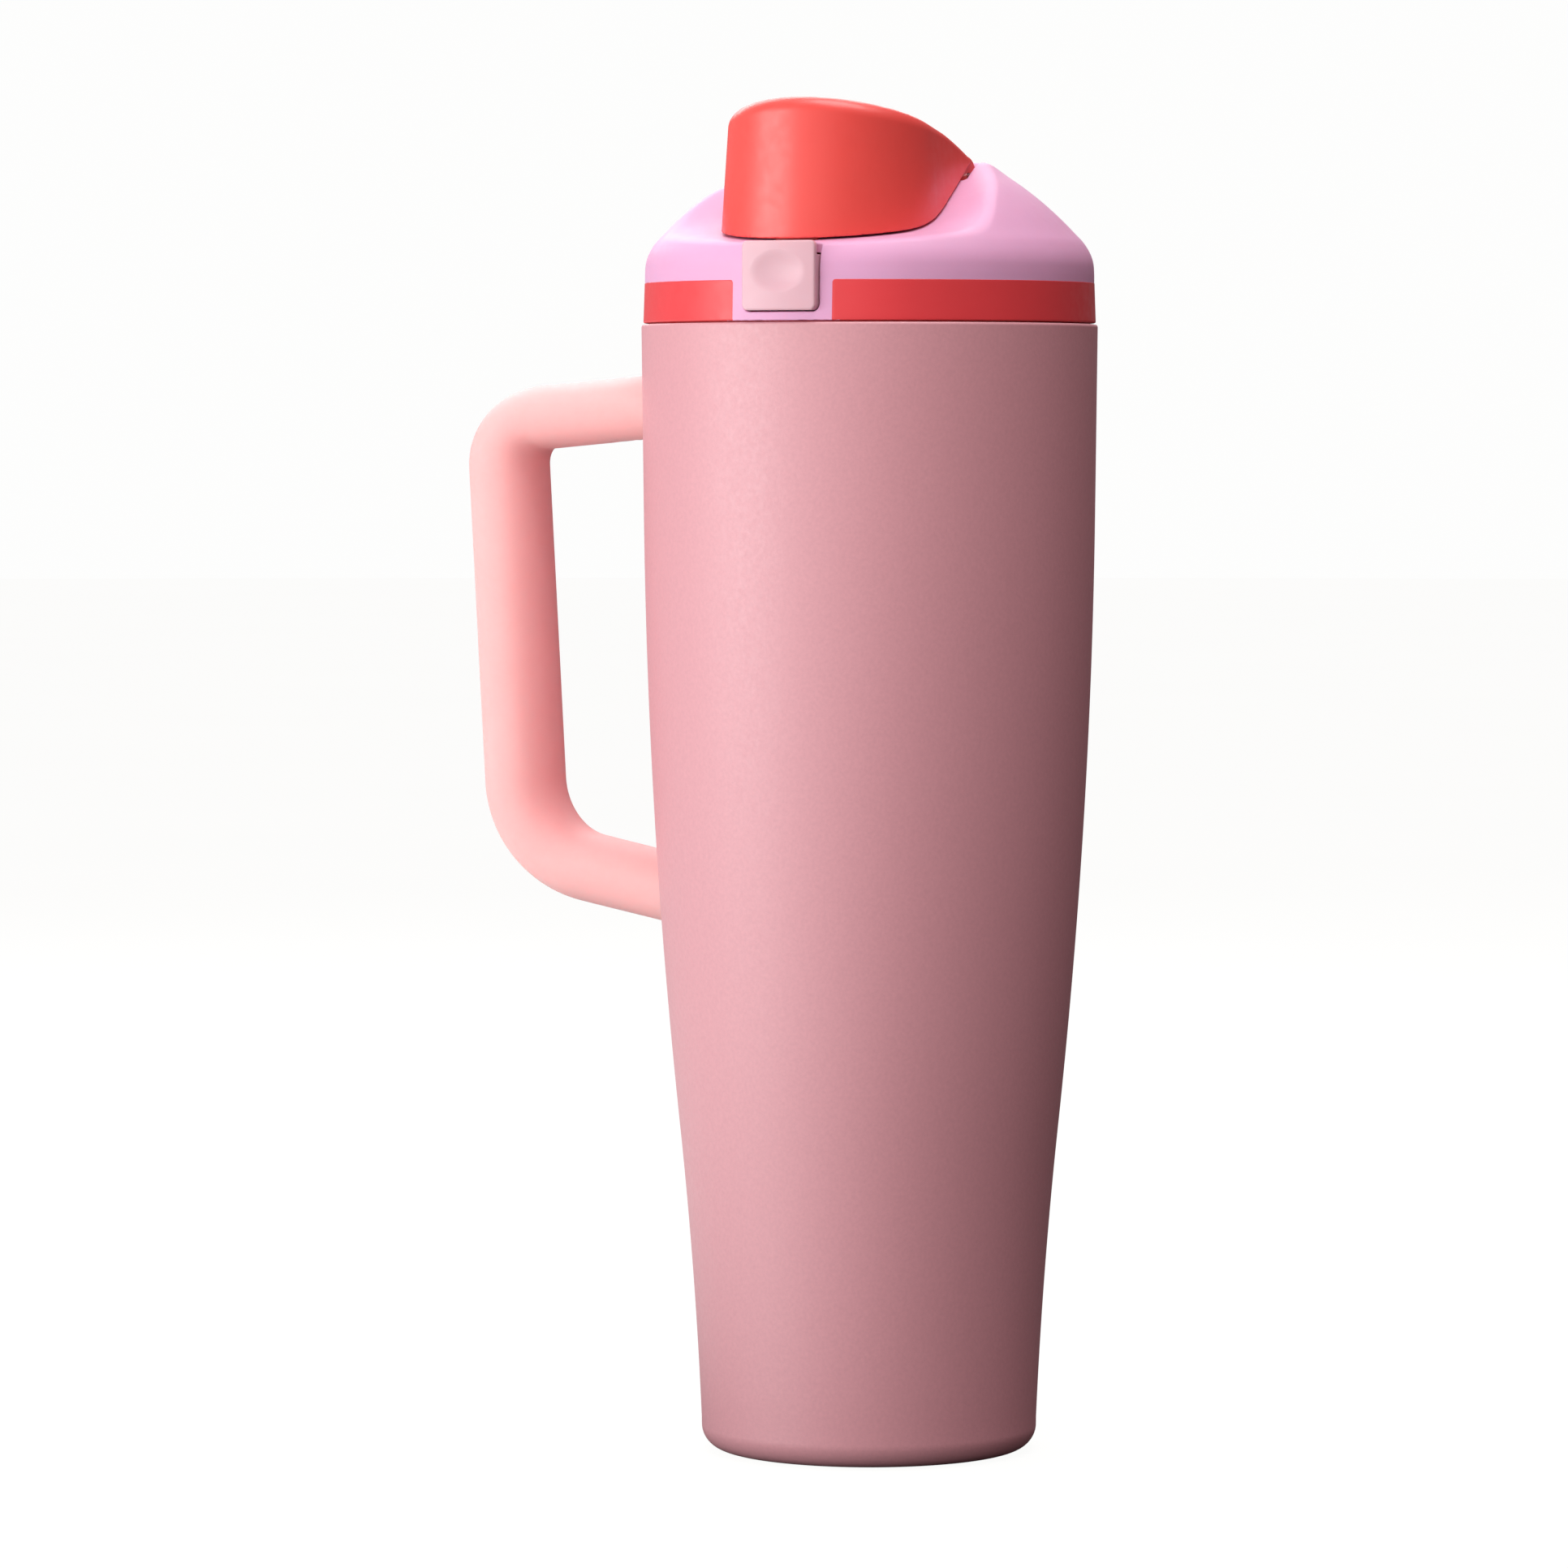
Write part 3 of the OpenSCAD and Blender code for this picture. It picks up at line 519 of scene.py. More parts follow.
def flare(z):
    """How far the side has moved out at height z, before it is scaled to end at the rim."""
    z = np.asarray(z, float)
    low = FOOT_SLOPE * (z - CORNER_R) + (STEEP_SLOPE - FOOT_SLOPE) * (z - CORNER_R) ** 2 / (
        2 * (STEEP_Z - CORNER_R))
    at_steep = (FOOT_SLOPE + STEEP_SLOPE) / 2 * (STEEP_Z - CORNER_R)
    mid = at_steep + STEEP_SLOPE * (z - STEEP_Z) - (STEEP_SLOPE - TOP_SLOPE) * (z - STEEP_Z) ** 2 / (
        2 * (STRAIGHT_Z - STEEP_Z))
    at_straight = at_steep + (STEEP_SLOPE + TOP_SLOPE) / 2 * (STRAIGHT_Z - STEEP_Z)
    high = at_straight + TOP_SLOPE * (z - STRAIGHT_Z)
    return np.where(z < STEEP_Z, low, np.where(z < STRAIGHT_Z, mid, high))


def cup_r(z):
    """The cup's outer radius at height z."""
    return BASE_R + (RIM_R - BASE_R) * flare(z) / float(flare(CUP_H))


def wall(z0, z1, inset, steps):
    """Points (r, z) up the cup's side, inset from its outer face."""
    return [(float(cup_r(z)) - inset, float(z)) for z in np.linspace(z0, z1, steps + 1)]


# ---------------------------------------------------------------- cup
def build_cup():
    base_hole = span("base_plate")[1][0]
    corner = BASE_R - FOOT_R
    lip = 0.6
    outside = (arc(corner, FOOT_R, FOOT_R, -90, 0, 14) + wall(FOOT_R + 1.5, CUP_H - 0.8, 0, 90)
               + arc(RIM_R - lip, CUP_H - lip, lip, 0, 90, 6))
    inside = (arc(corner, FOOT_R, FOOT_R - SHELL_T, -90, 0, 10)
              + wall(FOOT_R + 1.5, CUP_H - 1, SHELL_T, 60) + [(RIM_R - SHELL_T, CUP_H - 0.05)])
    outline = [(base_hole + 0.05, 0.1), (base_hole + 0.2, 0)] + outside + inside[::-1] + [
        (base_hole + 0.05, SHELL_T)]
    put(lathe("shell_coated", outline, 224), "cup", "outer_shell", "powder_coat")

    round_r = 7
    round_z = FLOOR_Z + round_r
    seam_r = RIM_R - SHELL_T - 0.1

    def skin(grow, n):
        return ([(0, FLOOR_Z - grow)]
                + arc(float(cup_r(round_z)) - WALL_T - round_r, round_z, round_r + grow, -90, 0, 12)
                + wall(round_z + 2, NECK_Z - 1.5, WALL_T - grow, n) + [(NECK_R + grow, NECK_Z)])

    inner = skin(0, 60) + [(NECK_R, NECK_Z + 0.6)] + arc(NECK_R + 1, CUP_H - 1, 1, 180, 90, 8) + [
        (seam_r, CUP_H)]
    outer = skin(LINER_T, 40) + [(NECK_R + LINER_T, CUP_H - 1.6),
                                 (NECK_R + LINER_T + 0.6, CUP_H - LINER_T), (seam_r, CUP_H - LINER_T)]
    put(lathe("liner_steel", inner + outer[::-1], 192), "cup", "inner_liner", "steel_brushed")

    # stamped foot: a step, a shallow ring and the centre dimple with its sealed pump hole
    t, rise, dimple, lift = SHELL_T, 2.2, 4.5, 3.4
    low = [(1.0, lift), (dimple - 0.8, lift), (dimple + 0.2, rise), (12, rise), (12.7, rise + 0.35),
           (14.3, rise + 0.35), (15, rise), (25, rise), (26, 0.03), (base_hole, 0.03)]
    high = [(base_hole, t), (26.8, t), (25.8, rise + t), (dimple + 1, rise + t), (dimple, lift + t),
            (1.0, lift + t)]
    soft = {i: 0.5 for i in range(1, 9)}
    soft.update({11: 0.6, 12: 0.6, 13: 0.5, 14: 0.5})
    put(lathe("foot_plate", softened(low + high, soft, 4), 160), "cup", "base_plate", "steel_raw")
    drop = [(0, lift - 1.0), (1.4, lift - 0.95), (2.4, lift - 0.72), (3.05, lift - 0.36),
            (3.4, lift - 0.02), (1.0, lift), (1.0, lift + t), (0, lift + t)]
    put(lathe("sealing_bead", drop, 64), "cup", "vacuum_seal_bead", "bead_glass")


# ---------------------------------------------------------------- handle
# Pairs are for the top, then the bottom. The arms: their middle's height at the cup, how many degrees they
# rise as they go out, and half their thickness. The grip: half its thickness, how far its middle is from the
# cup's axis, and the radius of its corners.
ARM_Z, ARM_TILT, ARM_T = (229.6, 122.2), (-5.0, 11.5), (7.0, 7.45)
GRIP_T, GRIP_OUT, BENDS = 8.1, (88.1, 82.8), (10.5, 21.0)
OVAL_POWER = 2.3
WELL_OUT, WELL_R, WELL_ROOF = 10.0, 3.15, 4.6


def build_handle():
    lo, hi = span("handle_grip")
    half_w = hi[1]
    roots = [np.array([-float(cup_r(z)), z]) for z in ARM_Z]
    outs = [np.array([-math.cos(rad(tilt)), math.sin(rad(tilt))]) for tilt in ARM_TILT]
    corners = [roots[i] + outs[i] * ((GRIP_OUT[i] + roots[i][0]) / math.cos(rad(ARM_TILT[i])))
               for i in range(2)]
    sunk = 4
    a, b, c, d = roots[0] - outs[0] * sunk, corners[0], corners[1], roots[1] - outs[1] * sunk

    def bend(p, q, s, r):
        """Where an arc of radius r in the corner p, q, s starts and ends, and its centre."""
        u, w = (p - q) / np.linalg.norm(p - q), (s - q) / np.linalg.norm(s - q)
        half = math.acos(float(u @ w)) / 2
        centre = q + (u + w) / np.linalg.norm(u + w) * r / math.sin(half)
        return q + u * r / math.tan(half), q + w * r / math.tan(half), centre

    s1, e1, c1 = bend(a, b, c, BENDS[0])
    s2, e2, c2 = bend(b, c, d, BENDS[1])

    def segment(x, z, p, q):
        """Distance from the line p to q, and how far along it, from 0 to 1."""
        ab = q - p
        t = np.clip(((x - p[0]) * ab[0] + (z - p[1]) * ab[1]) / (ab @ ab), 0, 1)
        return np.hypot(x - p[0] - t * ab[0], z - p[1] - t * ab[1]), t

    def turn(x, z, centre, r, s, e):
        """The same for an arc from s to e. Outside its angle the distance is huge."""
        mid = (s + e) / 2 - centre
        mid = mid / np.linalg.norm(mid)
        reach = (s - centre) @ mid / r
        dx, dz = x - centre[0], z - centre[1]
        far = np.maximum(np.hypot(dx, dz), 1e-6)
        within = (dx * mid[0] + dz * mid[1]) / far >= reach - 1e-9
        side = (e - s) / np.linalg.norm(e - s)
        t = 0.5 + 0.5 * (dx * side[0] + dz * side[1]) / far / math.sqrt(max(1e-9, 1 - reach ** 2))
        return np.where(within, np.abs(far - r), 1e3), np.clip(t, 0, 1)

    outer_t = [t + 0.1 for t in ARM_T]

    def shape(x, y, z):
        options = [(*segment(x, z, a, s1), ARM_T[0], outer_t[0]),
                   (*turn(x, z, c1, BENDS[0], s1, e1), outer_t[0], GRIP_T),
                   (*segment(x, z, e1, s2), GRIP_T, GRIP_T),
                   (*turn(x, z, c2, BENDS[1], s2, e2), GRIP_T, outer_t[1]),
                   (*segment(x, z, e2, d), outer_t[1], ARM_T[1])]
        near, t, t0, t1 = options[0]
        thick = t0 + (t1 - t0) * t
        for dist, t, t0, t1 in options[1:]:
            pick = dist < near
            near = np.where(pick, dist, near)
            thick = np.where(pick, t0 + (t1 - t0) * ramp(t, 0, 1), thick)
        q = (np.abs(near / thick) ** OVAL_POWER + np.abs(y / half_w) ** OVAL_POWER) ** (1 / OVAL_POWER)
        # about a distance again, at a middling half thickness
        f = (q - 1) * 7.5
        for i in range(2):
            rx, rz = x - roots[i][0], z - roots[i][1]
            k = rad(ARM_TILT[i])
            lx, lz = rx * math.cos(k) - rz * math.sin(k), rx * math.sin(k) + rz * math.cos(k)
            well = np.maximum(np.hypot(lx + WELL_OUT, y) - WELL_R, np.maximum(lz + WELL_ROOF, -lz - 12))
            f = rcut(f, well, 0.3)
        # the arms end just under the cup's coat
        return np.maximum(f, cup_r(z) - 0.35 - np.hypot(x, y))

    body = sculpt("handle_sleeve", shape, *grid_over(lo, hi, 2, 0.55))
    put(body, "cup", "handle_grip", "handle_skin")

    # plugs over the two screws, under the arms
    bm = bmesh.new()
    ring = softened([(0, 0.12), (1.2, 0.12), (1.7, 0), (3.0, 0.1), (3.0, 1.2), (0, 1.2)],
                    {1: 0.3, 2: 0.4, 3: 0.3}, 3)
    for root, tilt, arm_t in zip(roots, ARM_TILT, ARM_T):
        k = rad(tilt)

        def under_arm(p):
            lx, lz = -WELL_OUT + p[0], -arm_t + 0.02 + p[2]
            return (root[0] + lx * math.cos(k) + lz * math.sin(k), p[1],
                    root[1] - lx * math.sin(k) + lz * math.cos(k))

        add_turned(bm, ring, 48, under_arm)
    put(finish_bmesh("handle_plugs", bm), "cup", "screw_plugs", "handle_skin")


# ---------------------------------------------------------------- lid
REST_Z = CUP_H + 0.05
BAND_Z = CUP_H + 0.3
BAND_TOP = CUP_H + 9.05
BAND_R = 49.5
TOP_Z = span("lid_dome")[1][2]
DOME_R = BAND_R - 0.3
PLUG_R, PLUG_Z = NECK_R - 0.7, span("lid_base")[0][2]
# the hinge pin's place (y, z), and how far back the vent, the straw and the spout are
HINGE = middle("hinge_pin")[1:]
VENT_Y, STRAW_Y, SPOUT_Y = (middle(node)[1] for node in ("vent_valve", "straw", "spout_gasket"))
TAB_HALF, TAB_FLARE = 11.2, 0.7
SLOPE = 14.5  # of the spout's lip and the cover's top, in degrees
LIP_Z = 283.0
DECK_GAP = 0.4
HINGE_WELL_R, HINGE_WELL_HALF = 5.0, 24.1


def tab_half(z):
    """Half width of the tab in the band: wider in a small arc at the band's top."""
    k = np.clip((np.asarray(z, float) - (BAND_TOP - TAB_FLARE)) / TAB_FLARE, 0, 1)
    return TAB_HALF + TAB_FLARE * (1 - np.sqrt(1 - k ** 2))


def build_lid_base():
    floor_t, groove_low, groove_high, groove_r = 2.2, 236.5, 243.5, 44.4
    flange_r, flange_z, inner_r = 48.2, 249.0, 42.2
    outline = [(0, PLUG_Z), (PLUG_R - 1.2, PLUG_Z), (PLUG_R, PLUG_Z + 1.2), (PLUG_R, groove_low),
               (groove_r, groove_low), (groove_r, groove_high), (PLUG_R, groove_high), (PLUG_R, REST_Z),
               (flange_r, REST_Z), (flange_r, flange_z), (inner_r, flange_z), (inner_r, PLUG_Z + floor_t),
               (0, PLUG_Z + floor_t)]
    soft = {1: 0.8, 2: 0.8, 3: 0.3, 4: 0.3, 5: 0.3, 6: 0.3, 7: 0.5, 8: 0.2, 10: 0.5, 11: 1.2}
    plug = lathe("lid_plug", softened(outline, soft, 4), 192)
    drill(plug, (0, SPOUT_Y), 12.4, PLUG_Z - 2, PLUG_Z + 6)
    drill(plug, (0, VENT_Y), 1.9, PLUG_Z - 2, PLUG_Z + 6, 40)
    put(plug, "lid", "lid_base", "lid_coral")

    # the coloured band: a ring left open where the tab comes down, each outline point with its own limit
    proud, within = 0.06, 47.4
    section = softened([(BAND_R + proud, BAND_Z), (DOME_R + proud, BAND_TOP), (within, BAND_TOP),
                        (within, BAND_Z)], {0: 0.35, 1: 0.16, 2: 0.2, 3: 0.2}, 5)
    fine = []
    for p, q in zip(section, section[1:] + section[:1]):
        n = max(1, int(np.linalg.norm(np.array(q) - p) / 0.45))
        fine += [np.array(p) + (np.array(q) - p) * k / n for k in range(n)]
    bm = bmesh.new()
    n = 260
    # columns crowd near the two ends, and the outer face of the end ones is pulled in to ease the edge
    s = np.linspace(0, 1, n + 1)
    s = s - 0.48 * np.sin(2 * np.pi * s) / (2 * np.pi)
    rows = []
    for r, z in fine:
        a0 = math.asin(float(tab_half(z)) / r)
        row = []
        for k, w in enumerate(s):
            ang = a0 + (2 * math.pi - 2 * a0) * w - math.pi / 2
            column_r = r - 0.16 if k in (0, n) and r > 48.5 else r
            row.append(bm.verts.new((column_r * math.cos(ang), column_r * math.sin(ang), z)))
        rows.append(row)
    for i in range(len(rows)):
        u, v = rows[i], rows[(i + 1) % len(rows)]
        for k in range(n):
            bm.faces.new((u[k], u[k + 1], v[k + 1], v[k]))
    bm.faces.new([r[0] for r in rows])
    bm.faces.new([r[-1] for r in rows][::-1])
    put(finish_bmesh("lid_band", bm, sharp=50), "lid", "lid_base", "lid_coral")


def build_gasket():
    low, high = span("lid_gasket")
    z0, z1, fin, core, bore = low[2], high[2], high[0], PLUG_R - 0.05, 44.55
    outline = [(bore, z0), (core, z0), (core, z0 + 0.8), (fin, z0 + 1.75), (fin, z0 + 2.35),
               (core, z0 + 2.6), (core, z1 - 2.75), (fin, z1 - 1.75), (fin, z1 - 1.15), (core, z1 - 0.9),
               (core, z1), (bore, z1)]
    soft = {1: 0.2, 2: 0.4, 3: 0.25, 4: 0.25, 5: 0.3, 6: 0.4, 7: 0.25, 8: 0.25, 9: 0.3, 10: 0.2}
    put(lathe("neck_gasket", softened(outline, soft, 4), 192), "gasket", "lid_gasket", "silicone_clear")


# the hollow rises all the way back: at SCOOP_A degrees up to the point SCOOP, in an arc, then at SCOOP_B
SCOOP = np.array([-32.0, 266.7])
SCOOP_A, SCOOP_B, SCOOP_R = 8.0, 31.0, 50.0
SCOOP_C = SCOOP + SCOOP_R * np.array([-math.sin(rad(SCOOP_A)), math.cos(rad(SCOOP_A))])
SCOOP_END = SCOOP_C + SCOOP_R * np.array([math.sin(rad(SCOOP_B)), -math.cos(rad(SCOOP_B))])


def scoop(x, y):
    """Height of the hollow that the cover sits in, and the cosine of its slope."""
    inside = np.clip(y, SCOOP[0], SCOOP_END[0]) - SCOOP_C[0]
    drop = np.sqrt(SCOOP_R ** 2 - inside ** 2)
    z = SCOOP_C[1] - drop
    z = z + np.minimum(y - SCOOP[0], 0) * math.tan(rad(SCOOP_A))
    z = z + np.maximum(y - SCOOP_END[0], 0) * math.tan(rad(SCOOP_B))
    # towards the hinge its sides curl up
    z = z + 0.017 * ramp(y, -28, -10) * np.maximum(np.abs(x) - 22.5, 0) ** 2
    return z, drop / SCOOP_R


# the dome's four arcs, and the angles from level, in degrees, where each of the first three ends
SHOULDER_R, FLANK_R, CROWN_R, CAP_R = 10.2, 78.0, 8.0, 350.0
SHOULDER_END, FLANK_END, CROWN_END = 41.4, 59.3, 86.0


def unit_at(a):
    return np.array([math.cos(rad(a)), math.sin(rad(a))])


SHOULDER_C = np.array([DOME_R - SHOULDER_R, 259.8])
FLANK_C = SHOULDER_C + (SHOULDER_R - FLANK_R) * unit_at(SHOULDER_END)
CROWN_C = FLANK_C + (FLANK_R - CROWN_R) * unit_at(FLANK_END)
CAP_C = CROWN_C + (CROWN_R - CAP_R) * unit_at(CROWN_END)


def dome(x, y, z):
    """The lid's outside before the hollow is scooped out: four arcs that meet smoothly."""
    r = np.hypot(x, y)
    f = r - DOME_R
    for c, rr, a in ((SHOULDER_C, SHOULDER_R, 0), (FLANK_C, FLANK_R, SHOULDER_END),
                     (CROWN_C, CROWN_R, FLANK_END), (CAP_C, CAP_R, CROWN_END)):
        n = unit_at(a)
        past = (z - c[1]) * n[0] - (r - c[0]) * n[1] > 0
        f = np.where(past, np.hypot(r - c[0], z - c[1]) - rr, f)
    return f


def build_dome():
    wall_t = 2.2
    open_dir, rest = unit_at(49.0), unit_at(-41.0)
    # carrier of the button's spring: two cheeks and a back
    cheek, back_y, front_y, low_z, high_z = (9.9, 11.3), (-39.6, -38.2), -46.6, 250.4, 258.6
    carrier = [((-cheek[1], front_y, low_z), (-cheek[0], back_y[1], high_z)),
               ((cheek[0], front_y, low_z), (cheek[1], back_y[1], high_z)),
               ((-cheek[1], back_y[0], low_z), (cheek[1], back_y[1], high_z))]

    def shape(x, y, z):
        zs, cos = scoop(x, y)
        edge = 0.9 + 0.5 * np.clip((y + 44) / 26, 0, 1)
        # the flank stands up to 0.85 inside the arcs
        slim = 0.25 * np.clip((z - 258) / 6, 0, 1) + 0.6 * ramp(z, 259, 268) * ramp(z, 284.5, 279)
        d = rmax(dome(x, y, z) + slim, (z - zs + DECK_GAP) * cos, edge)
        hy, hz = y - HINGE[0], z - HINGE[1]
        # the well of the hinge: round the barrel, and behind it for the open cover
        barrel = np.hypot(hy, hz) - HINGE_WELL_R
        behind = np.maximum(hy * rest[0] + hz * rest[1] - HINGE_WELL_R,
                            np.maximum(-(hy * open_dir[0] + hz * open_dir[1]), -(hy + 2 + 0.15 * hz)))
        well = rmax(np.minimum(barrel, behind), np.abs(x) - HINGE_WELL_HALF, 0.4)
        d = rcut(d, well, 0.7)
        f = rmax(d, -(d + wall_t), 0.3)
        f = np.maximum(f, BAND_TOP - 1.2 - z)
        # the tab that comes down in front, round the button
        r = np.hypot(x, y)
        outer = r - (BAND_R - 0.3 * (z - BAND_Z) / (BAND_TOP - BAND_Z))
        tab = rmax(rmax(outer, 47.0 - r, 0.25), BAND_Z - z, 0.2)
        tab = np.maximum(np.maximum(tab, np.abs(x) - 13.6), np.maximum(z - BAND_TOP - 1.0, y))
        f = np.minimum(f, tab)
        for low, high in carrier:
            f = np.minimum(f, box3(x, y, z, low, high, 0.2))
        # window of the button, hole of the spout, slot of the tongue
        window = np.maximum(rect2(x, z, 0, 265.5, 8.8, 16, 1.5), y + np.where(z < 261.9, 44.3, 46.6))
        f = rcut(f, window, 0.25)
        f = rcut(f, np.maximum(np.hypot(x, y - SPOUT_Y) - 14.4, 250 - z), 0.5)
        slot = np.maximum(rect2(x, y, 0, -40.6, 5.5, 2.9, 0.8), 250 - z)
        return rcut(f, slot, 0.35)

    base_z = span("lid_dome")[0][2]
    ob = sculpt("lid_dome_shell", shape, ticks(-50.4, 50.4, 0.8, (-13.6, 13.6, 0.36)),
                ticks(-50.9, 50.4, 0.8, (-51, -43, 0.4)),
                ticks(base_z - 1.1, TOP_Z + 1.2, 0.6, (0, 266, 0.45)))
    put(ob, "lid", "lid_dome", "lid_lilac")


def tilted(p):
    """From the lip's own frame, its middle at the origin and its plane level, into place."""
    k = rad(SLOPE)
    return np.array([p[0], SPOUT_Y + p[1] * math.cos(k) + p[2] * math.sin(k),
                     LIP_Z - p[1] * math.sin(k) + p[2] * math.cos(k)])


def over_lip(y, z):
    """Height above the lip's plane, and distance along its slope."""
    k = rad(SLOPE)
    dy, dz = y - SPOUT_Y, z - LIP_Z
    return dy * math.sin(k) + dz * math.cos(k), dy * math.cos(k) - dz * math.sin(k)


def build_spout():
    lo, hi = span("spout")
    ring_low, ring_high = span("spout_gasket")[0][2], span("spout_gasket")[1][2]
    drink_r, straw_r, stub_r = 10.9, 2.6, 3.45

    def shape(x, y, z):
        r = np.hypot(x, y - SPOUT_Y)
        rs = np.hypot(x, y - STRAW_Y)
        tube_r = np.where(z < ring_high, 12.2, 14 - 1.3 * (z - ring_high) / 60)
        tube = np.maximum(r - tube_r, PLUG_Z - 1 - z)
        flange = rmax(r - 17.4, np.abs(z - ring_high - 1) - 1, 0.3)
        f = rcut(np.minimum(tube, flange), r - drink_r, 0.2)
        duct = np.maximum(np.maximum(rs - 4.3, r - 11.4), PLUG_Z + 0.2 - z)
        f = rmax(rmin(f, duct, 0.9), over_lip(y, z)[0], 0.75)
        stub = rmax(np.maximum(rs - stub_r, z - PLUG_Z - 1.5), lo[2] - z, 0.3)
        return rcut(np.minimum(f, stub), rs - straw_r, 0.35)

    reach, step = 18.6, 0.55
    ob = sculpt("mouthpiece", shape, ticks(-reach, reach, step),
                ticks(SPOUT_Y - reach, SPOUT_Y + reach, step), ticks(lo[2] - 1.2, hi[2] + 1.2, step))
    put(ob, "lid", "spout", "spout_pink")
    ring = softened([(14.2, ring_low), (17, ring_low), (17, ring_high), (14.2, ring_high)], 0.3, 4)
    put(lathe("mouthpiece_ring", ring, 96, lambda p: p + (0, SPOUT_Y, 0)), "lid", "spout_gasket",
        "silicone_clear")

    z0, z1 = span("straw")[0][2], span("straw")[1][2]
    bore, outer = 3.5, 4.5
    walls = softened([(bore, z0), (outer, z0), (outer, z1), (bore, z1)], 0.25, 4)
    up = np.linspace(z0 + 6, z1 - 4, 30)
    top = [p for p in walls if p[1] > (z0 + z1) / 2]
    low = [p for p in walls if p[1] < (z0 + z1) / 2]
    outline = low + [(outer, z) for z in up] + top + [(bore, z) for z in up[::-1]]

    def shear(p):
        """Into place, with the foot cut at a slant."""
        k = max(0.0, 1 - (p[2] - z0) / 5.5)
        return np.array([p[0], p[1] + STRAW_Y, p[2] + k * (outer - p[1]) * math.tan(rad(30))])

    put(lathe("sipping_straw", outline, 48, shear), "lid", "straw", "straw_clear")

    flap = [(0, -1.4), (3, -1.2), (5, -0.25), (5, 0), (1.8, 0), (1.8, 2.2), (2.7, 2.2), (1.5, 4.2), (0, 4.4)]
    flap = softened([(r, PLUG_Z + z) for r, z in flap], {1: 1.2, 2: 0.15, 3: 0.12, 6: 0.3, 7: 0.6}, 4)
    put(lathe("vent_flap", flap, 56, lambda p: p + (0, VENT_Y, 0)), "lid", "vent_valve", "silicone_clear")


# ---------------------------------------------------------------- button and latch
def build_button():
    lo, hi = span("button_cap")
    z0, z1, face = lo[2] + 0.35, hi[2], 51.0
    zc, hz, hx = (z0 + z1) / 2, (z1 - z0) / 2, 8.5
    # the thumb's dish is cut by a ball, depth deep and half_h high either way, stretched wide times along X
    dish_z, depth, half_h, wide = z0 + (z1 - z0) * 0.56, 0.9, 4.1, 1.68
    dish_r = (half_h ** 2 + depth ** 2) / (2 * depth)
    low_z, high_z = 251.2, 258.2

    def shape(x, y, z):
        r = np.hypot(x, y)
        side = rect2(x, z, 0, zc, hx, hz, 1.25)
        f = rmax(side, r - face, 0.45)
        ball = np.sqrt((x / wide) ** 2 + (y + face + dish_r - depth) ** 2 + (z - dish_z) ** 2) - dish_r
        f = rcut(f, ball, 0.3)
        # thinner above the latch
        f = np.maximum(f, y + np.where(z > 261.6, 49.0, 46.9))
        back = box3(x, y, z, (-6, -47.1, low_z), (6, -45.0, high_z), 0.2)
        stop = box3(x, y, z, (-9.5, -45.8, low_z), (9.5, -44.8, high_z), 0.2)
        f = np.minimum(f, np.minimum(back, stop))
        seat = np.maximum(np.hypot(x, z - 254.4) - 2.8, -46.5 - y)
        return np.maximum(f, -seat)

    ob = sculpt("thumb_button", shape, ticks(-10, 10, 0.2), ticks(lo[1] - 0.8, hi[1] + 0.8, 0.2),
                ticks(z0 - 0.8, z1 + 0.8, 0.2))
    put(ob, "button", "button_cap", "button_pink")

    lo, hi = span("latch_slider")

    def latch(x, y, z):
        return rcut(box3(x, y, z, lo, hi, 0.25), rect2(x, y, 0, -40.7, 5.6, 2.9, 0.4), 0.2)

    ob = sculpt("latch_plate", latch, *grid_over(lo, hi, 0.6, 0.25))
    put(ob, "button", "latch_slider", "latch_white")


# ---------------------------------------------------------------- hinge
def build_hinge():
    half = span("hinge_pin")[1][0]
    rod = softened([(0, -half), (1.25, -half), (1.25, half), (0, half)], {1: 0.3, 2: 0.3}, 3)
    put(lathe("hinge_rod", rod, 40, lambda p: np.array([p[2], HINGE[0] + p[0], HINGE[1] + p[1]])), "lid",
        "hinge_pin", "screw_steel")

    def coil(r, start, end, angle):
        """Points of six turns of wire: the place along, from start to end, and the two places across."""
        per_turn = 28
        steps = 6 * per_turn
        for k in range(steps + 1):
            a = rad(angle + 360 * k / per_turn)
            yield start + (end - start) * k / steps, r * math.cos(a), r * math.sin(a)

    half = 4.2
    pts = [(along, HINGE[0] + u, HINGE[1] + v) for along, u, v in coil(2.3, -half, half, -60)]
    put(wire("torsion_spring", pts, 0.4, 12), "lid", "hinge_spring", "screw_steel")
    lo, hi = span("button_spring")
    wire_r, zc = 0.3, middle("button_spring")[2]
    pts = [(u, along, zc + v) for along, u, v in coil(2.2, lo[1] + wire_r, hi[1] - wire_r, 0)]
    put(wire("return_spring", pts, wire_r, 10), "lid", "button_spring", "screw_steel")


# ---------------------------------------------------------------- flip cover
COVER_R, COVER_Y, DRAFT = 24.45, -20.0, 3.7
CREST = np.array([-44.5, 296.9])
TAIL = unit_at(68.6)
TAIL_DIR = np.array([TAIL[1], -TAIL[0]])
# the hinge's barrel ends END_IN inside half the cover's width there
BARREL_R, HINGE_HALF, END_IN = 4.7, 23.7, 0.8


def cover_plan(x, y, z):
    """Distance from the cover's sides: a half circle in front, straight behind, drawn in towards the top."""
    r = COVER_R - (z - 265) * math.tan(rad(DRAFT))
    reach = np.where(y < COVER_Y, np.hypot(x, y - COVER_Y), np.abs(x))
    return (reach - r) * math.cos(rad(DRAFT))


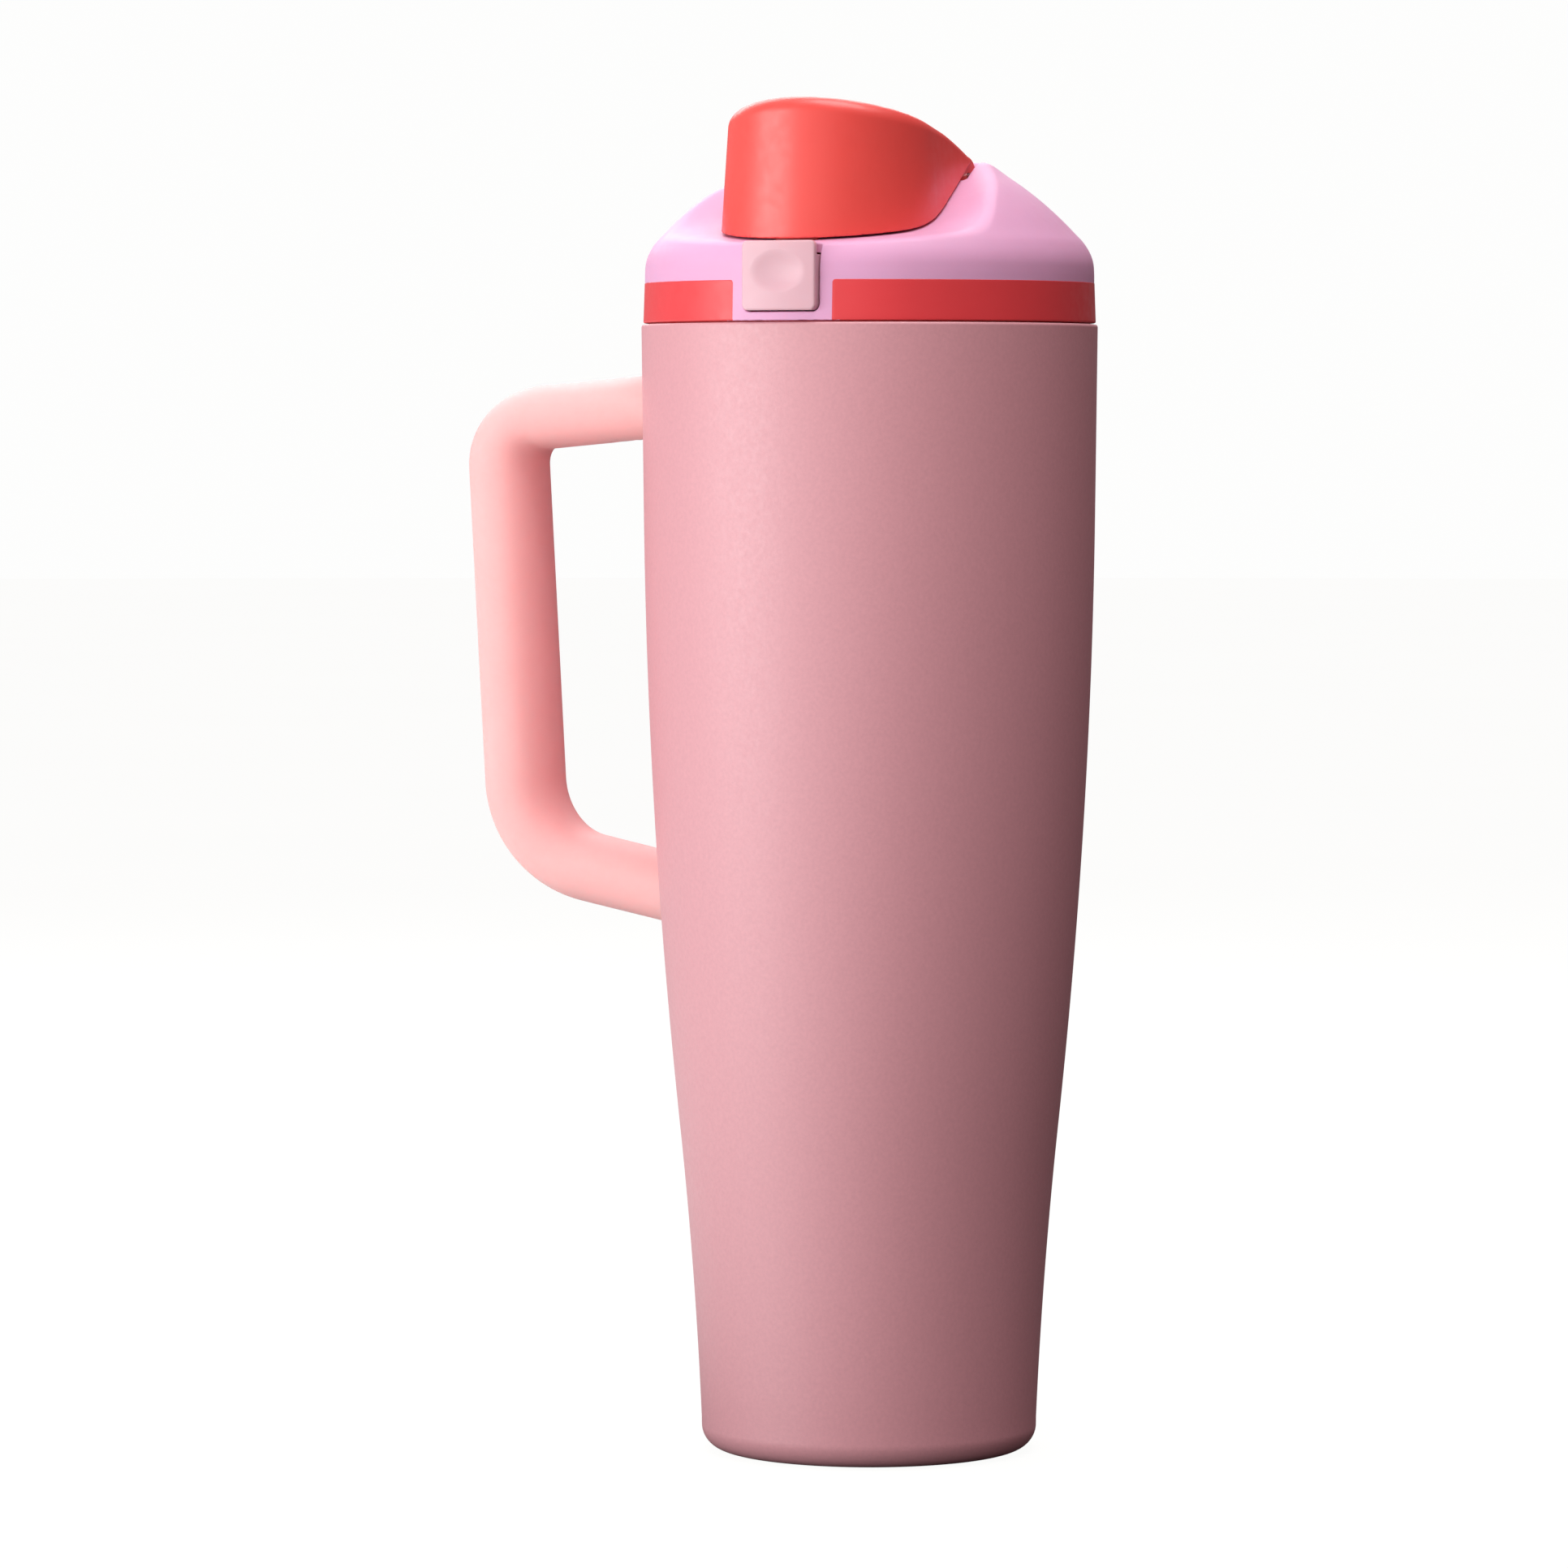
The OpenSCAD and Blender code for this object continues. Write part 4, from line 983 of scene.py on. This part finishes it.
def cover_top(y, z):
    """Distance from the cover's top: parallel to the lip, then steeper, down to the hinge's barrel."""
    k = rad(SLOPE)
    front = (z - CREST[1]) * math.cos(k) + (y - CREST[0]) * math.sin(k)
    rear = (y - HINGE[0]) * TAIL[0] + (z - HINGE[1]) * TAIL[1] - BARREL_R
    return blend(front, rear, 0.9)


def build_cover():
    lo, hi = span("cover_shell")
    pin_r, spring_r, spring_half = 1.3, 3.4, 5.2

    def shape(x, y, z):
        plan, top = cover_plan(x, y, z), cover_top(y, z)
        # the top edge is rounder in front
        soft = 4.0 - 2.3 * np.clip((y + 36) / 24, 0, 1)
        zs, cos = scoop(x, y)
        f = rmax(plan, top, soft)
        f = rmax(f, (zs + 0.1 - z) * cos, 0.3)
        hy, hz = y - HINGE[0], z - HINGE[1]
        f = rmax(f, hy * TAIL_DIR[0] + hz * TAIL_DIR[1], 0.3)
        barrel = rmax(np.hypot(hy, hz) - BARREL_R, np.abs(x) - HINGE_HALF + END_IN, 0.6)
        f = rmin(f, barrel, 0.25)
        hollow = rmax(rmax(plan + 2, top + 2, 3.2), y - (HINGE[0] - BARREL_R - 1.2), 2.0)
        f = rcut(f, hollow, 0.45)
        # room for the hinge's spring, open below
        pocket = np.maximum(np.hypot(hy, hz) - spring_r, np.abs(x) - spring_half)
        below = box3(x, y, z, (-spring_half, HINGE[0] - spring_r, HINGE[1] - 8),
                     (spring_half, HINGE[0] + spring_r, HINGE[1]), 0.1)
        f = rcut(f, np.minimum(pocket, below), 0.3)
        return np.maximum(f, pin_r - np.hypot(hy, hz))

    ob = sculpt("flip_cover", shape, ticks(-25.6, 25.6, 0.5), ticks(lo[1] - 1.1, hi[1] + 1.1, 0.5),
                ticks(lo[2] - 1.1, hi[2] + 1.1, 0.5))
    put(ob, "cover", "cover_shell", "cover_coral")

    lo, hi = span("cover_frame")
    tongue_low = (-5, -40.4, lo[2])

    def plate(x, y, z):
        up, along = over_lip(y, z)
        slab = np.abs(up - 3.5) - 0.8
        f = rmax(rmax(cover_plan(x, y, z) + 2.05, slab, 0.3), along - 15, 0.4)
        seat = np.maximum(np.abs(np.hypot(x, along) - 14.6) - 0.6, np.abs(up - 2.3) - 0.6)
        f = rmin(f, seat, 0.3)
        tongue = box3(x, y, z, tongue_low, (5, -38.8, 292.0), 0.3)
        barb = box3(x, y, z, tongue_low, (5, -37.9, 259.1), 0.3)
        return rmin(rmin(f, tongue, 0.4), barb, 0.2)

    ob = sculpt("cover_inner_plate", plate, *grid_over(lo, hi, 1, (0.5, 0.45, 0.5)))
    put(ob, "cover", "cover_frame", "cover_coral")

    disc = [(0, 0.35), (9.4, 0.35), (10.0, 0.15), (12.6, 0.15), (13.0, 0.5), (13.0, 2.65), (0, 2.65)]
    disc = softened(disc, {1: 0.4, 2: 0.4, 3: 0.3, 4: 0.3, 5: 0.4}, 4)
    seal = lathe("lip_seal", disc, 96, tilted)
    boss_y = (STRAW_Y - SPOUT_Y) / math.cos(rad(SLOPE))
    nub = softened([(0, -1.55), (1.5, -1.5), (2.1, -0.6), (2.1, 0.4), (0, 0.4)], {1: 0.5, 2: 0.4}, 4)
    boss = lathe("lip_seal_nub", nub, 40, lambda p: tilted(p + (0, boss_y, 0)))
    put(seal, "cover", "cover_seal", "silicone_clear")
    put(boss, "cover", "cover_seal", "silicone_clear")


def keep(node, slot):
    """A CAD node whose shape is right stays, with its own node material."""
    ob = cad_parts[node]
    ob.data.materials.clear()
    ob.data.materials.append(mat[slot])


build_cup()
build_handle()
build_lid_base()
build_gasket()
build_dome()
build_spout()
build_button()
build_hinge()
build_cover()
for node, slot in (("getter", "getter_grey"), ("reflective_foil", "foil_copper"),
                   ("upper_bracket", "steel_raw"), ("lower_bracket", "steel_raw"),
                   ("handle_core", "handle_core"), ("handle_screws", "screw_steel")):
    keep(node, slot)

# ---------------------------------------------------------------- stage, light and camera
scene = bpy.context.scene
scene.view_settings.view_transform = "Standard"
CAMERA_AZ, CAMERA_OUT, CAMERA_UP = 22.8, 1.55, 0.225
AIM_LEFT, AIM_UP = 0.01875, 0.1465
LEFT = np.array([-math.cos(rad(CAMERA_AZ)), -math.sin(rad(CAMERA_AZ)), 0])
LAMP_AIM = (0, 0, 0.16)
FLOOR_GLOW = 0.955
# strength of the light thrown back from the key's far side and from its own side
BOUNCE = (0.0, 1.3)


def build_stage():
    """A large floor that the camera sees nearly as bright as the backdrop."""
    bm = bmesh.new()
    bmesh.ops.create_circle(bm, cap_ends=True, segments=96, radius=9.0)
    bmesh.ops.translate(bm, verts=bm.verts, vec=(0, 0, -0.0002))
    floor = from_bmesh("floor", bm)
    p = Paint("floor_paper", 0.95, Specular_IOR_Level=0.0)
    p.colour(p.noise(3, 2), (0.06, 0.06, 0.06), (0.07, 0.07, 0.07))
    p.b.inputs["Emission Color"].default_value = (1, 1, 0.99, 1)

    def product(a, b):
        n = p.t.nodes.new("ShaderNodeMath")
        n.operation = "MULTIPLY"
        p.t.links.new(a, n.inputs[0])
        p.t.links.new(b, n.inputs[1])
        return n.outputs[0]

    # the light that the floor throws back at the object: only on the key's side, most from close by
    away, left = vector_math(p.t, "LENGTH", p.where), vector_math(p.t, "DOT_PRODUCT", p.where, LEFT)
    near = product(p.range(away, 0, 1, 0.03, 0.2), p.range(away, 1, 0.35, 0.4, 1.2))
    thrown = product(near, p.range(left, *BOUNCE, -0.05, 0.3))
    seen = p.t.nodes.new("ShaderNodeMix")
    p.t.links.new(p.t.nodes.new("ShaderNodeLightPath").outputs["Is Camera Ray"], seen.inputs["Factor"])
    p.t.links.new(thrown, seen.inputs["A"])
    seen.inputs["B"].default_value = FLOOR_GLOW
    p.t.links.new(seen.outputs["Result"], p.b.inputs["Emission Strength"])
    floor.data.materials.append(p.m)


def lamp(name, azimuth, elevation, distance, width, height, power, colour=(1, 1, 1)):
    """A soft box at a direction from the object. Azimuth is measured like the camera's."""
    data = bpy.data.lights.new(name, "AREA")
    data.shape, data.size, data.size_y = "RECTANGLE", width, height
    data.energy, data.color = power, colour
    ob = link_object(name, data)
    a, e = rad(azimuth), rad(elevation)
    back = np.array([math.sin(a) * math.cos(e), -math.cos(a) * math.cos(e), math.sin(e)])
    ob.location = np.array(LAMP_AIM) + back * distance
    ob.visible_camera = False
    aim_at(ob, LAMP_AIM)
    return ob


def aim_at(ob, target):
    ob.rotation_mode = "QUATERNION"
    ob.rotation_quaternion = (Vector(target) - ob.location).to_track_quat("-Z", "Y")


def build_world():
    """Nearly white to the camera. To the object it is a dim room, brighter on the key's side."""
    world = bpy.data.worlds.new("studio")
    world.use_nodes = True
    tree = world.node_tree
    where = tree.nodes.new("ShaderNodeTexCoord").outputs["Generated"]
    room = tree.nodes.new("ShaderNodeMix")
    room.data_type = "RGBA"
    room.inputs["A"].default_value = (0.190, 0.100, 0.110, 1)
    room.inputs["B"].default_value = (0.36, 0.31, 0.32, 1)
    spread = tree.nodes.new("ShaderNodeMapRange")
    spread.inputs["From Min"].default_value, spread.inputs["From Max"].default_value = -1, 1
    tree.links.new(vector_math(tree, "DOT_PRODUCT", where, LEFT + (0, 0, 0.35)), spread.inputs["Value"])
    tree.links.new(spread.outputs[0], room.inputs["Factor"])
    seen = tree.nodes.new("ShaderNodeMix")
    seen.data_type = "RGBA"
    tree.links.new(tree.nodes.new("ShaderNodeLightPath").outputs["Is Camera Ray"], seen.inputs["Factor"])
    tree.links.new(room.outputs["Result"], seen.inputs["A"])
    seen.inputs["B"].default_value = (0.985, 0.985, 0.98, 1)
    glow = tree.nodes["Background"]
    tree.links.new(seen.outputs["Result"], glow.inputs["Color"])
    glow.inputs["Strength"].default_value = 1.0
    scene.world = world


def build_camera():
    cam = bpy.data.cameras.new("camera")
    cam.lens, cam.sensor_width = 162.0, 36.0
    ob = link_object("camera", cam)
    az = rad(CAMERA_AZ)
    ob.location = (CAMERA_OUT * math.sin(az), -CAMERA_OUT * math.cos(az), CAMERA_UP)
    aim_at(ob, AIM_LEFT * LEFT + (0, 0, AIM_UP))
    scene.camera = ob


build_stage()
lamp("key", CAMERA_AZ - 66, 7, 1.3, 0.9, 0.7, 8.8, (0.94, 1.0, 1.0))
lamp("front", CAMERA_AZ - 18, 14, 1.3, 0.8, 0.6, 5.8).visible_glossy = False
lamp("top", CAMERA_AZ + 35, 79, 1.3, 0.9, 0.9, 12.5)
lamp("back", CAMERA_AZ - 168, 38, 1.4, 1.2, 1.0, 12)
build_world()
build_camera()
